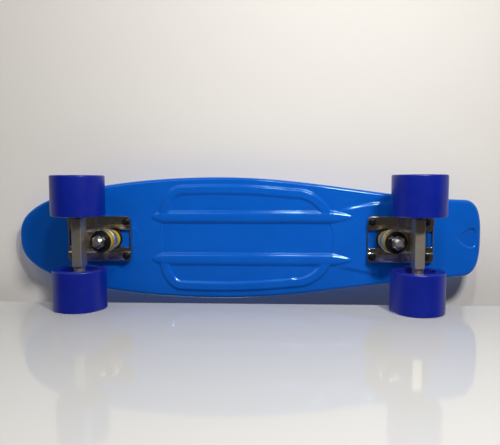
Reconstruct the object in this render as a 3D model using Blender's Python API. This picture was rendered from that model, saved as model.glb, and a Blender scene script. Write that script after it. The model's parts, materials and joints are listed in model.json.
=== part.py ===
"""Mini cruiser skateboard: moulded plastic deck, two cast trucks and four urethane wheels.

Metres. +X points to the nose, +Y to the rider's left, +Z up, and the wheels stand on z = 0.
Each truck is modelled in its own frame, with the origin on the ground under its axle and +X
outboard. The rear truck is the same set of pieces turned half a turn about Z.
"""

import math

import bmesh
import bpy
from mathutils import Matrix, Vector

GAP = 0.0003  # clearance kept between neighbouring pieces
CUT_MARGIN = 0.0020  # how far a cutting solid reaches past what it cuts
CHAMFER_SHARE = 0.22  # end chamfer's share of a threaded piece's radius

# Deck
DECK_LENGTH = 0.575
DECK_WIDTH = 0.149
DECK_THICKNESS = 0.011
DECK_EDGE_ROUND = 0.0042
DECK_WIDEST_X = 0.035
NOSE_TAPER = 1.95  # exponents of the curve that narrows to the nose
NOSE_ROUNDNESS = 2.6
TAIL_WIDTH = 0.093
TAIL_CORNER = 0.0255  # length over which the tail's corners round off
TAIL_CORNER_FULLNESS = 2.5
TAIL_CORNER_ROUNDNESS = 3.0
NOSE_RISE = 0.010
TAIL_RISE = 0.018
KICK_CURVE = 1.4
KICK_MARGIN = 0.004  # flat deck left beyond each baseplate

# Ribs on the underside
RIB_SPACING = 0.052
RIB_WIDTH = 0.0150
RIB_HEIGHT = 0.0028
RIB_TIP_LENGTH = 0.016
RIB_NOSE_MARGIN = 0.023
RIB_TAIL_MARGIN = 0.014
SIDE_RIB_WIDTH = 0.0130
SIDE_RIB_HEIGHT = 0.0022
SIDE_RIB_INSET = 0.0150  # from the deck's edge to the middle of the rib
SIDE_RIB_NOSE_LENGTH = 0.022
SIDE_RIB_TAIL_LENGTH = 0.043
RIB_ROOT = 0.001  # how deep a rib's solid starts inside the deck
RIB_CROWN = 0.44  # flat top's share of a rib's width
RIB_TIP_SIZES = ((0.0, 0.12), (0.3, 0.55), (1.0, 1.0))  # share of the tip's length, share of full size
TAIL_RECESS_LENGTH = 0.0255
TAIL_RECESS_WIDTH = 0.027
TAIL_RECESS_DEPTH = 0.0010
TAIL_RECESS_MARGIN = 0.0085  # from the tail's end to the recess
TAIL_RECESS_CORNER = 0.0040

# Running gear layout
WHEELBASE = 0.3817
TRUCK_MIDPOINT_X = -0.002
TRUCK_HEIGHT = 0.049  # from the axle's centre line to the deck's underside

# Truck fasteners
HOLE_SPACING_X = 0.0635
HOLE_SPACING_Y = 0.0413
OUTER_HOLE_X = 0.0202
BOLT_RADIUS = 0.0025
BOLT_HEAD_RADIUS = 0.0048
BOLT_HEAD_DEPTH = 0.0030
BOLT_HEAD_RIM = 0.0005  # straight edge above the head's cone
BOLT_HEAD_SINK = 0.0003  # head lies this far under the deck's top
BOLT_END = 0.0012  # thread past the nut
NUT_FLATS = 0.0082
NUT_HEIGHT = 0.0048

# Baseplate
PLATE_WIDTH = 0.0546
PLATE_THICKNESS = 0.0050
PLATE_INNER_MARGIN = 0.0049  # past the inboard holes
PLATE_OUTER_MARGIN = 0.0095  # past the outboard holes
PLATE_CORNER = 0.0050
RAIL_THICKNESS = 0.0075
RAIL_WIDTH = 0.0108
EAR_LENGTH = 0.0167
NOTCH_LENGTH = 0.0060  # between a rail and the outboard ear
END_RAIL = 0.0013
INNER_WINDOW_WIDTH = 0.0220
OUTER_WINDOW_WIDTH = 0.0192
OUTER_WINDOW_LENGTH = 0.0075
WINDOW_LIP = 0.0008  # plate left between the kingpin boss and the inboard window
PIVOT_BOSS_WALL = 0.0023

# Kingpin stack; distances run along the kingpin from the deck's underside
KINGPIN_X = -0.0277  # where its line meets the deck's underside
KINGPIN_LEAN = math.radians(8.5)
KINGPIN_RADIUS = 0.00476
KINGPIN_HEAD_FLATS = 0.0130
KINGPIN_HEAD_START = 0.0021
KINGPIN_HEAD_HEIGHT = 0.0030
KINGPIN_END = 0.0022  # thread past the nut
BOSS_RADIUS = 0.0105
BOSS_FACE = 0.0080
BUSHING_RADIUS = 0.0117
BUSHING_END_RADIUS = 0.0110
INNER_BUSHING_HEIGHT = 0.0120
OUTER_BUSHING_HEIGHT = 0.0090
CUP_THICKNESS = 0.0013
CUP_DEPTH = 0.0026
CUP_WALL = 0.0009
RING_THICKNESS = 0.0080
RING_RADIUS = 0.0135
RING_CLEARANCE = 0.00304  # between the ring's bore and the kingpin
KINGPIN_NUT_FLATS = 0.0143
KINGPIN_NUT_HEIGHT = 0.0048
KINGPIN_NUT_COLLAR_WALL = 0.00094
KINGPIN_NUT_COLLAR = 0.0013

# Pivot
PIVOT_X = 0.0070
PIVOT_DROP = 0.0095  # below the deck's underside
PIVOT_TIP_RADIUS = 0.0040
PIVOT_ROOT_RADIUS = 0.0056
PIVOT_LENGTH = 0.0125
CUP_SOCKET_WALL = 0.0013
CUP_SOCKET_DEPTH = 0.0070

# Hanger
HANGER_WIDTH = 0.0800
BEAM_LENGTH = 0.0550
BEAM_FACE_WIDTH = 0.0106
BEAM_TOP_WIDTH = 0.0126
BEAM_DROP = 0.0080  # road face below the axle's centre line
BEAM_RISE = 0.0080
NECK_RADIUS = 0.0062
YOKE_WIDTH = 0.0250
YOKE_POCKET_WIDTH = 0.0196
YOKE_POCKET_DEPTH = 0.0145  # from the beam's board side, between the beam and the ring
YOKE_POCKET_MARGIN = 0.0008  # from the ring's rim
WEB_INSET = 0.0004  # keeps the web's faces off those of the ring and the beam
WEB_RING_OVERLAP = 0.0010  # from the ring's bore to the web
WEB_RING_MARGIN = 0.0007  # past the ring's rim
WEB_ROAD_INSET = 0.0012  # behind the beam's road face
WEB_CROWN = 0.0060  # over the beam's board side, towards the ring
WEB_CROWN_FLARE = 0.0014  # past the beam's inboard edge
WEB_SIDE_FLARE = 0.0008
WEB_SIDE_DROP = 0.0010
FINGER_FRONT = (0.0060, -0.0085)  # corners of the web round the finger's root, as X and Z offsets
FINGER_TOP = (0.0005, 0.0040)
FINGER_BACK = (-0.0050, 0.0015)
FINGER_ROOT_DEPTH = 0.0040  # how deep the finger starts inside the web
FINGER_TAPER_END = 0.45  # share of its length at which the finger reaches its tip's radius
AXLE_RADIUS = 0.00397
AXLE_END = 0.0015  # thread past the nut

# Wheels and bearings
WHEEL_RADIUS = 0.030
WHEEL_WIDTH = 0.046
WHEEL_EDGE = 0.0014
WHEEL_RECESS_MOUTH_RADIUS = 0.0205
WHEEL_RECESS_FLOOR_RADIUS = 0.0185
BEARING_RADIUS = 0.0110
BEARING_WIDTH = 0.0070
BEARING_SPACING = 0.0100
BEARING_CHAMFER = 0.0006
WHEEL_SHOULDER_RADIUS = 0.0090
INNER_RACE_RADIUS = 0.0060
SPACER_RADIUS = 0.0053
SPEED_WASHER_RADIUS = 0.0068
SPEED_WASHER = 0.0009
AXLE_NUT_FLATS = 0.0127
AXLE_NUT_HEIGHT = 0.0068

# Facets of the curved pieces
KICK_STEPS = 7
WHEEL_SIDES = 32
BEARING_SIDES = 20
STACK_SIDES = 20
PIVOT_SIDES = 16
AXLE_SIDES = 16
RING_SIDES = 24
SMALL_SIDES = 12

# ------------------------------------------------------------------ places worked out from them
DECK_Z = WHEEL_RADIUS + TRUCK_HEIGHT
DECK_TOP = DECK_Z + DECK_THICKNESS
PLATE_Z = DECK_Z - GAP
RAIL_Z = PLATE_Z - RAIL_THICKNESS
INNER_HOLE_X = OUTER_HOLE_X - HOLE_SPACING_X
PLATE_INNER_X = INNER_HOLE_X - PLATE_INNER_MARGIN
PLATE_OUTER_X = OUTER_HOLE_X + PLATE_OUTER_MARGIN
NOSE_BEND_X = TRUCK_MIDPOINT_X + WHEELBASE / 2 + PLATE_OUTER_X + KICK_MARGIN
TAIL_BEND_X = TRUCK_MIDPOINT_X - WHEELBASE / 2 - PLATE_OUTER_X - KICK_MARGIN

KINGPIN_ROOT = Vector((KINGPIN_X, 0.0, DECK_Z))
KINGPIN_DIRECTION = Vector((math.sin(KINGPIN_LEAN), 0.0, -math.cos(KINGPIN_LEAN)))
INNER_CUP_AT = BOSS_FACE + GAP
INNER_BUSHING_AT = INNER_CUP_AT + CUP_THICKNESS + GAP
RING_AT = INNER_BUSHING_AT + INNER_BUSHING_HEIGHT + GAP
OUTER_BUSHING_AT = RING_AT + RING_THICKNESS + GAP
OUTER_CUP_AT = OUTER_BUSHING_AT + OUTER_BUSHING_HEIGHT + GAP
KINGPIN_NUT_AT = OUTER_CUP_AT + CUP_THICKNESS + GAP
KINGPIN_NUT_COLLAR_RADIUS = KINGPIN_RADIUS + GAP + KINGPIN_NUT_COLLAR_WALL
KINGPIN_LENGTH = KINGPIN_NUT_AT + KINGPIN_NUT_HEIGHT + KINGPIN_NUT_COLLAR + KINGPIN_END

RING_BORE = KINGPIN_RADIUS + RING_CLEARANCE
RING_CENTRE = KINGPIN_ROOT + KINGPIN_DIRECTION * (RING_AT + RING_THICKNESS / 2)
PIVOT = Vector((PIVOT_X, 0.0, DECK_Z - PIVOT_DROP))
PIVOT_DIRECTION = (PIVOT - RING_CENTRE).normalized()
SOCKET_RADIUS = PIVOT_TIP_RADIUS + GAP + CUP_SOCKET_WALL

STACK_HALF = BEARING_SPACING / 2 + BEARING_WIDTH
WHEEL_Y = HANGER_WIDTH / 2 + GAP + SPEED_WASHER + STACK_HALF
AXLE_NUT_Y = WHEEL_Y + STACK_HALF + SPEED_WASHER + GAP
AXLE_HALF = AXLE_NUT_Y + AXLE_NUT_HEIGHT + AXLE_END

COLOURS = {
    "deck_blue": ((0.0052, 0.100, 0.474), 0.22, 0.0),
    "wheel_blue": ((0.0056, 0.0103, 0.235), 0.30, 0.0),
    "bushing_yellow": ((0.42, 0.36, 0.03), 0.40, 0.0),
    "chrome": ((0.62, 0.60, 0.57), 0.12, 1.0),
    "steel": ((0.55, 0.55, 0.56), 0.25, 1.0),
    "black_zinc": ((0.016, 0.016, 0.018), 0.35, 0.6),
    "cup_plastic": ((0.02, 0.02, 0.022), 0.45, 0.0),
}


def clear_scene():
    for item in list(bpy.context.scene.objects):
        bpy.data.objects.remove(item)


def make_material(name):
    colour, roughness, metallic = COLOURS[name]
    material = bpy.data.materials.new(name)
    material.use_nodes = True
    shader = material.node_tree.nodes["Principled BSDF"]
    shader.inputs["Base Color"].default_value = (*colour, 1.0)
    shader.inputs["Roughness"].default_value = roughness
    shader.inputs["Metallic"].default_value = metallic
    material.diffuse_color = (*colour, 1.0)
    return material


def to_mesh(bm, name):
    bmesh.ops.recalc_face_normals(bm, faces=bm.faces)
    mesh = bpy.data.meshes.new(name)
    bm.to_mesh(mesh)
    bm.free()
    return mesh


def tool_object(bm):
    """A temporary solid for a Boolean."""
    tool = bpy.data.objects.new("tool", to_mesh(bm, "tool"))
    bpy.context.scene.collection.objects.link(tool)
    return tool


def combine(mesh, steps):
    """Apply Boolean steps, each an operation and a bmesh, to a mesh and return the result."""
    target = bpy.data.objects.new("target", mesh)
    bpy.context.scene.collection.objects.link(target)
    for operation, bm in steps:
        tool = tool_object(bm)
        modifier = target.modifiers.new("boolean", "BOOLEAN")
        modifier.operation = operation
        modifier.solver = "EXACT"
        modifier.object = tool
        bpy.context.view_layer.update()
        graph = bpy.context.evaluated_depsgraph_get()
        result = bpy.data.meshes.new_from_object(target.evaluated_get(graph))
        target.modifiers.clear()
        target.data = result
        bpy.data.objects.remove(tool)
    result = target.data
    bpy.data.objects.remove(target)
    tidy = bmesh.new()
    tidy.from_mesh(result)
    bmesh.ops.remove_doubles(tidy, verts=tidy.verts, dist=2e-6)
    bmesh.ops.dissolve_degenerate(tidy, edges=tidy.edges, dist=2e-6)
    tidy.to_mesh(result)
    tidy.free()
    return result


def place(name, mesh, material, parent=None, matrix=None, smooth_angle=35):
    """Add a named piece. Its matrix is relative to its parent."""
    mesh.materials.clear()
    mesh.materials.append(material)
    mesh.shade_smooth()
    mesh.set_sharp_from_angle(angle=math.radians(smooth_angle))
    mesh.name = name
    piece = bpy.data.objects.new(name, mesh)
    bpy.context.scene.collection.objects.link(piece)
    piece.parent = parent
    if matrix:
        piece.matrix_local = matrix
    return piece


# ------------------------------------------------------------------ shape makers
def ring_points(radius, height, count):
    points = []
    for i in range(count):
        angle = 2 * math.pi * i / count
        points.append(Vector((radius * math.cos(angle), radius * math.sin(angle), height)))
    return points


def hex_points(flats, height):
    """A hexagon of twelve points: six corners and the middles of its six flats."""
    points = []
    for i in range(12):
        radius = flats / 2 if i % 2 else flats / 2 / math.cos(math.pi / 6)
        angle = math.pi / 6 * i
        points.append(Vector((radius * math.cos(angle), radius * math.sin(angle), height)))
    return points


def skin(loops, ring=False):
    """Join loops of equally many points by faces. A ring joins the last loop to the first."""
    bm = bmesh.new()
    rows = [[bm.verts.new(point) for point in loop] for loop in loops]
    pairs = list(zip(rows, rows[1:]))
    if ring:
        pairs.append((rows[-1], rows[0]))
    else:
        bm.faces.new(rows[0])
        bm.faces.new(rows[-1])
    for low, high in pairs:
        count = len(low)
        for i in range(count):
            j = (i + 1) % count
            bm.faces.new((low[i], low[j], high[j], high[i]))
    return bm


def turned(profile, sides):
    """Spin a closed outline of (radius, height) points about Z."""
    bm = bmesh.new()
    verts = [bm.verts.new((radius, 0.0, height)) for radius, height in profile]
    edges = []
    for a, b in zip(verts, verts[1:] + verts[:1]):
        if a.co.x > 0 or b.co.x > 0:
            edges.append(bm.edges.new((a, b)))
    bmesh.ops.spin(
        bm,
        geom=verts + edges,
        cent=(0, 0, 0),
        axis=(0, 0, 1),
        angle=2 * math.pi,
        steps=sides,
        use_merge=True,
    )
    bmesh.ops.remove_doubles(bm, verts=bm.verts, dist=1e-6)
    return bm


def prism(outline, direction):
    """Extrude a flat outline of points along a direction."""
    bm = bmesh.new()
    face = bm.faces.new([bm.verts.new(point) for point in outline])
    grown = bmesh.ops.extrude_face_region(bm, geom=[face])
    moved = [item for item in grown["geom"] if isinstance(item, bmesh.types.BMVert)]
    bmesh.ops.translate(bm, verts=moved, vec=direction)
    return bm


def slab(x_low, x_high, width, z_low, z_high):
    """A box that is centred on Y."""
    outline = [(x_low, -width / 2), (x_high, -width / 2), (x_high, width / 2), (x_low, width / 2)]
    return prism([(x, y, z_low) for x, y in outline], (0, 0, z_high - z_low))


def side_box(x_low, x_high, y_low, y_high, z_low, z_high):
    outline = [(x_low, y_low), (x_high, y_low), (x_high, y_high), (x_low, y_high)]
    return prism([(x, y, z_low) for x, y in outline], (0, 0, z_high - z_low))


def moved(bm, matrix):
    bmesh.ops.transform(bm, matrix=matrix, verts=bm.verts)
    return bm


def aimed(origin, direction):
    """A frame at origin whose local Z points along direction and whose local Y stays along Y."""
    z = direction.normalized()
    y = Vector((0.0, 1.0, 0.0))
    x = y.cross(z)
    return Matrix.Translation(origin) @ Matrix((x, y, z)).transposed().to_4x4()


def on_kingpin(distance):
    return aimed(KINGPIN_ROOT + KINGPIN_DIRECTION * distance, KINGPIN_DIRECTION)


def rounded_rectangle(x_low, x_high, width, corner, steps=3):
    points = []
    half = width / 2
    centres = ((x_high, half, 0), (x_low, half, 1), (x_low, -half, 2), (x_high, -half, 3))
    for x, y, quarter in centres:
        cx = x - math.copysign(corner, x - (x_low + x_high) / 2)
        cy = y - math.copysign(corner, y)
        for i in range(steps + 1):
            angle = math.pi / 2 * (quarter + i / steps)
            points.append((cx + corner * math.cos(angle), cy + corner * math.sin(angle)))
    return points


# ------------------------------------------------------------------ deck
def deck_half_width(x):
    if x >= DECK_WIDEST_X:
        share = (x - DECK_WIDEST_X) / (DECK_LENGTH / 2 - DECK_WIDEST_X)
        return DECK_WIDTH / 2 * max(0.0, 1 - share**NOSE_TAPER) ** (1 / NOSE_ROUNDNESS)
    share = (DECK_WIDEST_X - x) / (DECK_WIDEST_X + DECK_LENGTH / 2)
    side = TAIL_WIDTH / 2 + (DECK_WIDTH - TAIL_WIDTH) / 2 * math.cos(math.pi * share / 2) ** 2
    corner = max(0.0, (TAIL_CORNER - DECK_LENGTH / 2 - x) / TAIL_CORNER)
    return side * max(0.0, 1 - corner**TAIL_CORNER_FULLNESS) ** (1 / TAIL_CORNER_ROUNDNESS)


def deck_rise(x):
    """How far the kicked nose and tail lift the deck at x."""
    if x > NOSE_BEND_X:
        return NOSE_RISE * ((x - NOSE_BEND_X) / (DECK_LENGTH / 2 - NOSE_BEND_X)) ** KICK_CURVE
    if x < TAIL_BEND_X:
        return TAIL_RISE * ((TAIL_BEND_X - x) / (TAIL_BEND_X + DECK_LENGTH / 2)) ** KICK_CURVE
    return 0.0


def deck_outline(nose_steps=18, side_steps=8, corner_steps=9):
    """Points round the deck from the nose along +Y to the tail and back."""
    corner_x = TAIL_CORNER - DECK_LENGTH / 2
    stations = []
    for i in range(nose_steps, 0, -1):
        share = 1 - (1 - i / nose_steps) ** 3
        stations.append(DECK_WIDEST_X + share * (DECK_LENGTH / 2 - DECK_WIDEST_X))
    for i in range(side_steps + 1):
        stations.append(DECK_WIDEST_X + (corner_x - DECK_WIDEST_X) * i / side_steps)
    for i in range(1, corner_steps + 1):
        share = 1 - (1 - i / corner_steps) ** 3
        stations.append(corner_x - share * TAIL_CORNER)
    left = [(x, deck_half_width(x)) for x in stations]
    right = [(x, -y) for x, y in reversed(left) if y > 0]
    return left + right


def sweep(path, width, height, sizes):
    """A low strip along a path in the deck's underside; sizes scale its section at each point."""
    crown = RIB_CROWN / 2
    section = ((-0.5, -RIB_ROOT), (-0.5, 0.0), (-crown, 1.0), (crown, 1.0), (0.5, 0.0), (0.5, -RIB_ROOT))
    loops = []
    for i, (x, y) in enumerate(path):
        before = Vector(path[max(i - 1, 0)])
        after = Vector(path[min(i + 1, len(path) - 1)])
        along = (after - before).normalized()
        across = Vector((-along.y, along.x))
        loop = []
        for side, drop in section:
            depth = drop if drop < 0 else drop * height * sizes[i]
            spot = Vector((x, y)) + across * side * width * sizes[i]
            loop.append(Vector((spot.x, spot.y, DECK_Z - depth)))
        loops.append(loop)
    return skin(loops)


def rib_ends():
    nose = TRUCK_MIDPOINT_X + WHEELBASE / 2 + PLATE_INNER_X - RIB_NOSE_MARGIN
    tail = TRUCK_MIDPOINT_X - WHEELBASE / 2 - PLATE_INNER_X + RIB_TAIL_MARGIN
    return nose, tail


def straight_rib(side):
    nose, tail = rib_ends()
    y = side * RIB_SPACING / 2
    path = []
    sizes = []
    for share, size in RIB_TIP_SIZES:
        path.append((nose - share * RIB_TIP_LENGTH, y))
        sizes.append(size)
    for share, size in reversed(RIB_TIP_SIZES):
        path.append((tail + share * RIB_TIP_LENGTH, y))
        sizes.append(size)
    return sweep(path, RIB_WIDTH, RIB_HEIGHT, sizes)


def side_rib(side, steps=6):
    """A long rib beside the deck's edge whose ends curve in to the straight rib."""
    nose, tail = rib_ends()
    root_y = RIB_SPACING / 2
    nose_x = nose - RIB_TIP_LENGTH - SIDE_RIB_NOSE_LENGTH
    tail_x = tail + RIB_TIP_LENGTH * 2 + SIDE_RIB_TAIL_LENGTH
    path = []
    for i in range(steps):
        angle = math.pi / 2 * i / steps
        reach = deck_half_width(nose_x) - SIDE_RIB_INSET - root_y
        x = nose_x + SIDE_RIB_NOSE_LENGTH * math.cos(angle)
        path.append((x, side * (root_y + reach * math.sin(angle))))
    for i in range(steps + 1):
        x = nose_x + (tail_x - nose_x) * i / steps
        path.append((x, side * (deck_half_width(x) - SIDE_RIB_INSET)))
    reach = deck_half_width(tail_x) - SIDE_RIB_INSET - root_y
    for i in range(1, steps + 1):
        share = i / steps
        x = tail_x - SIDE_RIB_TAIL_LENGTH * share
        path.append((x, side * (root_y + reach * (1 - share**2))))
    return sweep(path, SIDE_RIB_WIDTH, SIDE_RIB_HEIGHT, [1.0] * len(path))


def tail_recess():
    """A shallow rounded triangle in the tail's underside, its point towards the trucks."""
    end = TAIL_RECESS_MARGIN - DECK_LENGTH / 2
    half = TAIL_RECESS_WIDTH / 2
    corners = ((end + TAIL_RECESS_LENGTH, 0.0, -60), (end, half, 60), (end, -half, 180))
    outline = []
    for x, y, start in corners:
        cx = x - TAIL_RECESS_CORNER if y == 0 else x + TAIL_RECESS_CORNER
        cy = y - math.copysign(TAIL_RECESS_CORNER, y) if y else 0.0
        for i in range(5):
            angle = math.radians(start + 120 * i / 4)
            x_offset = TAIL_RECESS_CORNER * math.cos(angle)
            y_offset = TAIL_RECESS_CORNER * math.sin(angle)
            outline.append((cx + x_offset, cy + y_offset))
    low = [Vector((x, y, WHEEL_RADIUS)) for x, y in outline]
    high = [Vector((x, y, DECK_Z + deck_rise(x) + TAIL_RECESS_DEPTH)) for x, y in outline]
    bm = skin([low, high])
    bmesh.ops.triangulate(bm, faces=bm.faces)
    return bm


def truck_centres():
    """Ground point and turn about Z of the two trucks."""
    half = WHEELBASE / 2
    return {"front": (TRUCK_MIDPOINT_X + half, 0.0), "rear": (TRUCK_MIDPOINT_X - half, math.pi)}


def truck_frame(end):
    x, turn = truck_centres()[end]
    return Matrix.Translation((x, 0, 0)) @ Matrix.Rotation(turn, 4, "Z")


def hole_places():
    """The four bolts of one truck, in the truck's frame."""
    return [(x, side * HOLE_SPACING_Y / 2) for x in (OUTER_HOLE_X, INNER_HOLE_X) for side in (1, -1)]


def bolt_holes():
    """Countersunk holes that clear the bolts all over."""
    bm = bmesh.new()
    head = BOLT_HEAD_RADIUS + GAP
    shank = BOLT_RADIUS + GAP
    head_top = DECK_TOP - BOLT_HEAD_SINK
    for end in ("front", "rear"):
        for x, y in hole_places():
            loops = [
                ring_points(shank, DECK_Z - CUT_MARGIN, SMALL_SIDES),
                ring_points(shank, head_top - BOLT_HEAD_DEPTH - GAP, SMALL_SIDES),
                ring_points(head, head_top - BOLT_HEAD_RIM - GAP, SMALL_SIDES),
                ring_points(head, DECK_TOP + CUT_MARGIN, SMALL_SIDES),
            ]
            single = moved(skin(loops), truck_frame(end) @ Matrix.Translation((x, y, 0)))
            mesh = to_mesh(single, "hole")
            bm.from_mesh(mesh)
            bpy.data.meshes.remove(mesh)
    return bm


def deck_mesh():
    bm = prism([(x, y, DECK_Z) for x, y in deck_outline()], (0, 0, DECK_THICKNESS))
    rims = [edge for edge in bm.edges if abs(edge.verts[0].co.z - edge.verts[1].co.z) < 1e-6]
    bmesh.ops.bevel(
        bm,
        geom=rims,
        offset=DECK_EDGE_ROUND,
        segments=3,
        profile=0.5,
        affect="EDGES",
        clamp_overlap=True,
    )
    steps = [("UNION", straight_rib(side)) for side in (1, -1)]
    steps += [("UNION", side_rib(side)) for side in (1, -1)]
    mesh = combine(to_mesh(bm, "deck"), steps)
    bm = bmesh.new()
    bm.from_mesh(mesh)
    for start, end in ((NOSE_BEND_X, DECK_LENGTH / 2), (TAIL_BEND_X, -DECK_LENGTH / 2)):
        for i in range(KICK_STEPS):
            cut_x = start + (end - start) * i / KICK_STEPS
            everything = list(bm.verts) + list(bm.edges) + list(bm.faces)
            bmesh.ops.bisect_plane(
                bm,
                geom=everything,
                plane_co=(cut_x, 0, 0),
                plane_no=(1, 0, 0),
                dist=1e-5,
            )
    bmesh.ops.connect_verts_concave(bm, faces=bm.faces)
    for vert in bm.verts:
        vert.co.z += deck_rise(vert.co.x)
    mesh = to_mesh(bm, "deck")
    return combine(mesh, [("DIFFERENCE", tail_recess()), ("DIFFERENCE", bolt_holes())])


# ------------------------------------------------------------------ truck pieces
def baseplate_mesh():
    outline = rounded_rectangle(PLATE_INNER_X, PLATE_OUTER_X, PLATE_WIDTH, PLATE_CORNER)
    low = PLATE_Z - PLATE_THICKNESS
    bm = prism([(x, y, RAIL_Z) for x, y in outline], (0, 0, RAIL_THICKNESS))
    half = PLATE_WIDTH / 2
    rail_inside = half - RAIL_WIDTH
    ear_x = PLATE_OUTER_X - EAR_LENGTH
    inner_cut = PLATE_INNER_X - CUT_MARGIN
    outer_cut = PLATE_OUTER_X + CUT_MARGIN
    below = RAIL_Z - CUT_MARGIN
    above = PLATE_Z + CUT_MARGIN
    steps = [("DIFFERENCE", slab(inner_cut, outer_cut, 2 * rail_inside, below, low))]
    for side in (1, -1):
        y_low, y_high = sorted((side * rail_inside, side * (half + CUT_MARGIN)))
        notch = side_box(ear_x - NOTCH_LENGTH, ear_x, y_low, y_high, below, above)
        steps.append(("DIFFERENCE", notch))
    boss_start = KINGPIN_HEAD_START + KINGPIN_HEAD_HEIGHT / 2
    boss = skin([ring_points(BOSS_RADIUS, z, STACK_SIDES) for z in (0, BOSS_FACE - boss_start)])
    steps.append(("UNION", moved(boss, on_kingpin(boss_start))))

    socket = SOCKET_RADIUS + GAP
    housing_radius = socket + PIVOT_BOSS_WALL
    along = aimed(PIVOT, PIVOT_DIRECTION)
    cup_end = PIVOT_TIP_RADIUS + GAP + CUP_SOCKET_WALL
    mouth = cup_end - CUP_SOCKET_DEPTH
    housing_end = cup_end + PIVOT_BOSS_WALL
    housing = skin([ring_points(housing_radius, z, PIVOT_SIDES) for z in (mouth, housing_end)])
    steps.append(("UNION", moved(housing, along)))
    bore = skin([ring_points(socket, z, PIVOT_SIDES) for z in (-5 * PIVOT_LENGTH, cup_end + GAP)])
    steps.append(("DIFFERENCE", moved(bore, along)))
    top = slab(inner_cut, outer_cut, PLATE_WIDTH * 2, PLATE_Z, DECK_TOP)
    steps.append(("DIFFERENCE", top))

    boss_edge = KINGPIN_X - BOSS_RADIUS
    inner_end = PLATE_INNER_X + END_RAIL
    window = slab(inner_end, boss_edge - WINDOW_LIP, INNER_WINDOW_WIDTH, below, above)
    steps.append(("DIFFERENCE", window))
    outer_end = PLATE_OUTER_X - END_RAIL
    window = slab(outer_end - OUTER_WINDOW_LENGTH, outer_end, OUTER_WINDOW_WIDTH, below, above)
    steps.append(("DIFFERENCE", window))

    head_end = KINGPIN_HEAD_START + KINGPIN_HEAD_HEIGHT
    pocket_start = KINGPIN_HEAD_START - KINGPIN_HEAD_FLATS  # clear of the leaning plate's top
    pocket = skin([hex_points(KINGPIN_HEAD_FLATS + 2 * GAP, z) for z in (pocket_start, head_end + GAP)])
    steps.append(("DIFFERENCE", moved(pocket, on_kingpin(0.0))))
    shaft_end = BOSS_FACE + CUT_MARGIN
    shaft = skin([ring_points(KINGPIN_RADIUS + GAP, z, SMALL_SIDES) for z in (0.0, shaft_end)])
    steps.append(("DIFFERENCE", moved(shaft, on_kingpin(0.0))))
    for x, y in hole_places():
        loops = [ring_points(BOLT_RADIUS + GAP, z, SMALL_SIDES) for z in (below, above)]
        steps.append(("DIFFERENCE", moved(skin(loops), Matrix.Translation((x, y, 0)))))
    return combine(to_mesh(bm, "baseplate"), steps)


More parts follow.
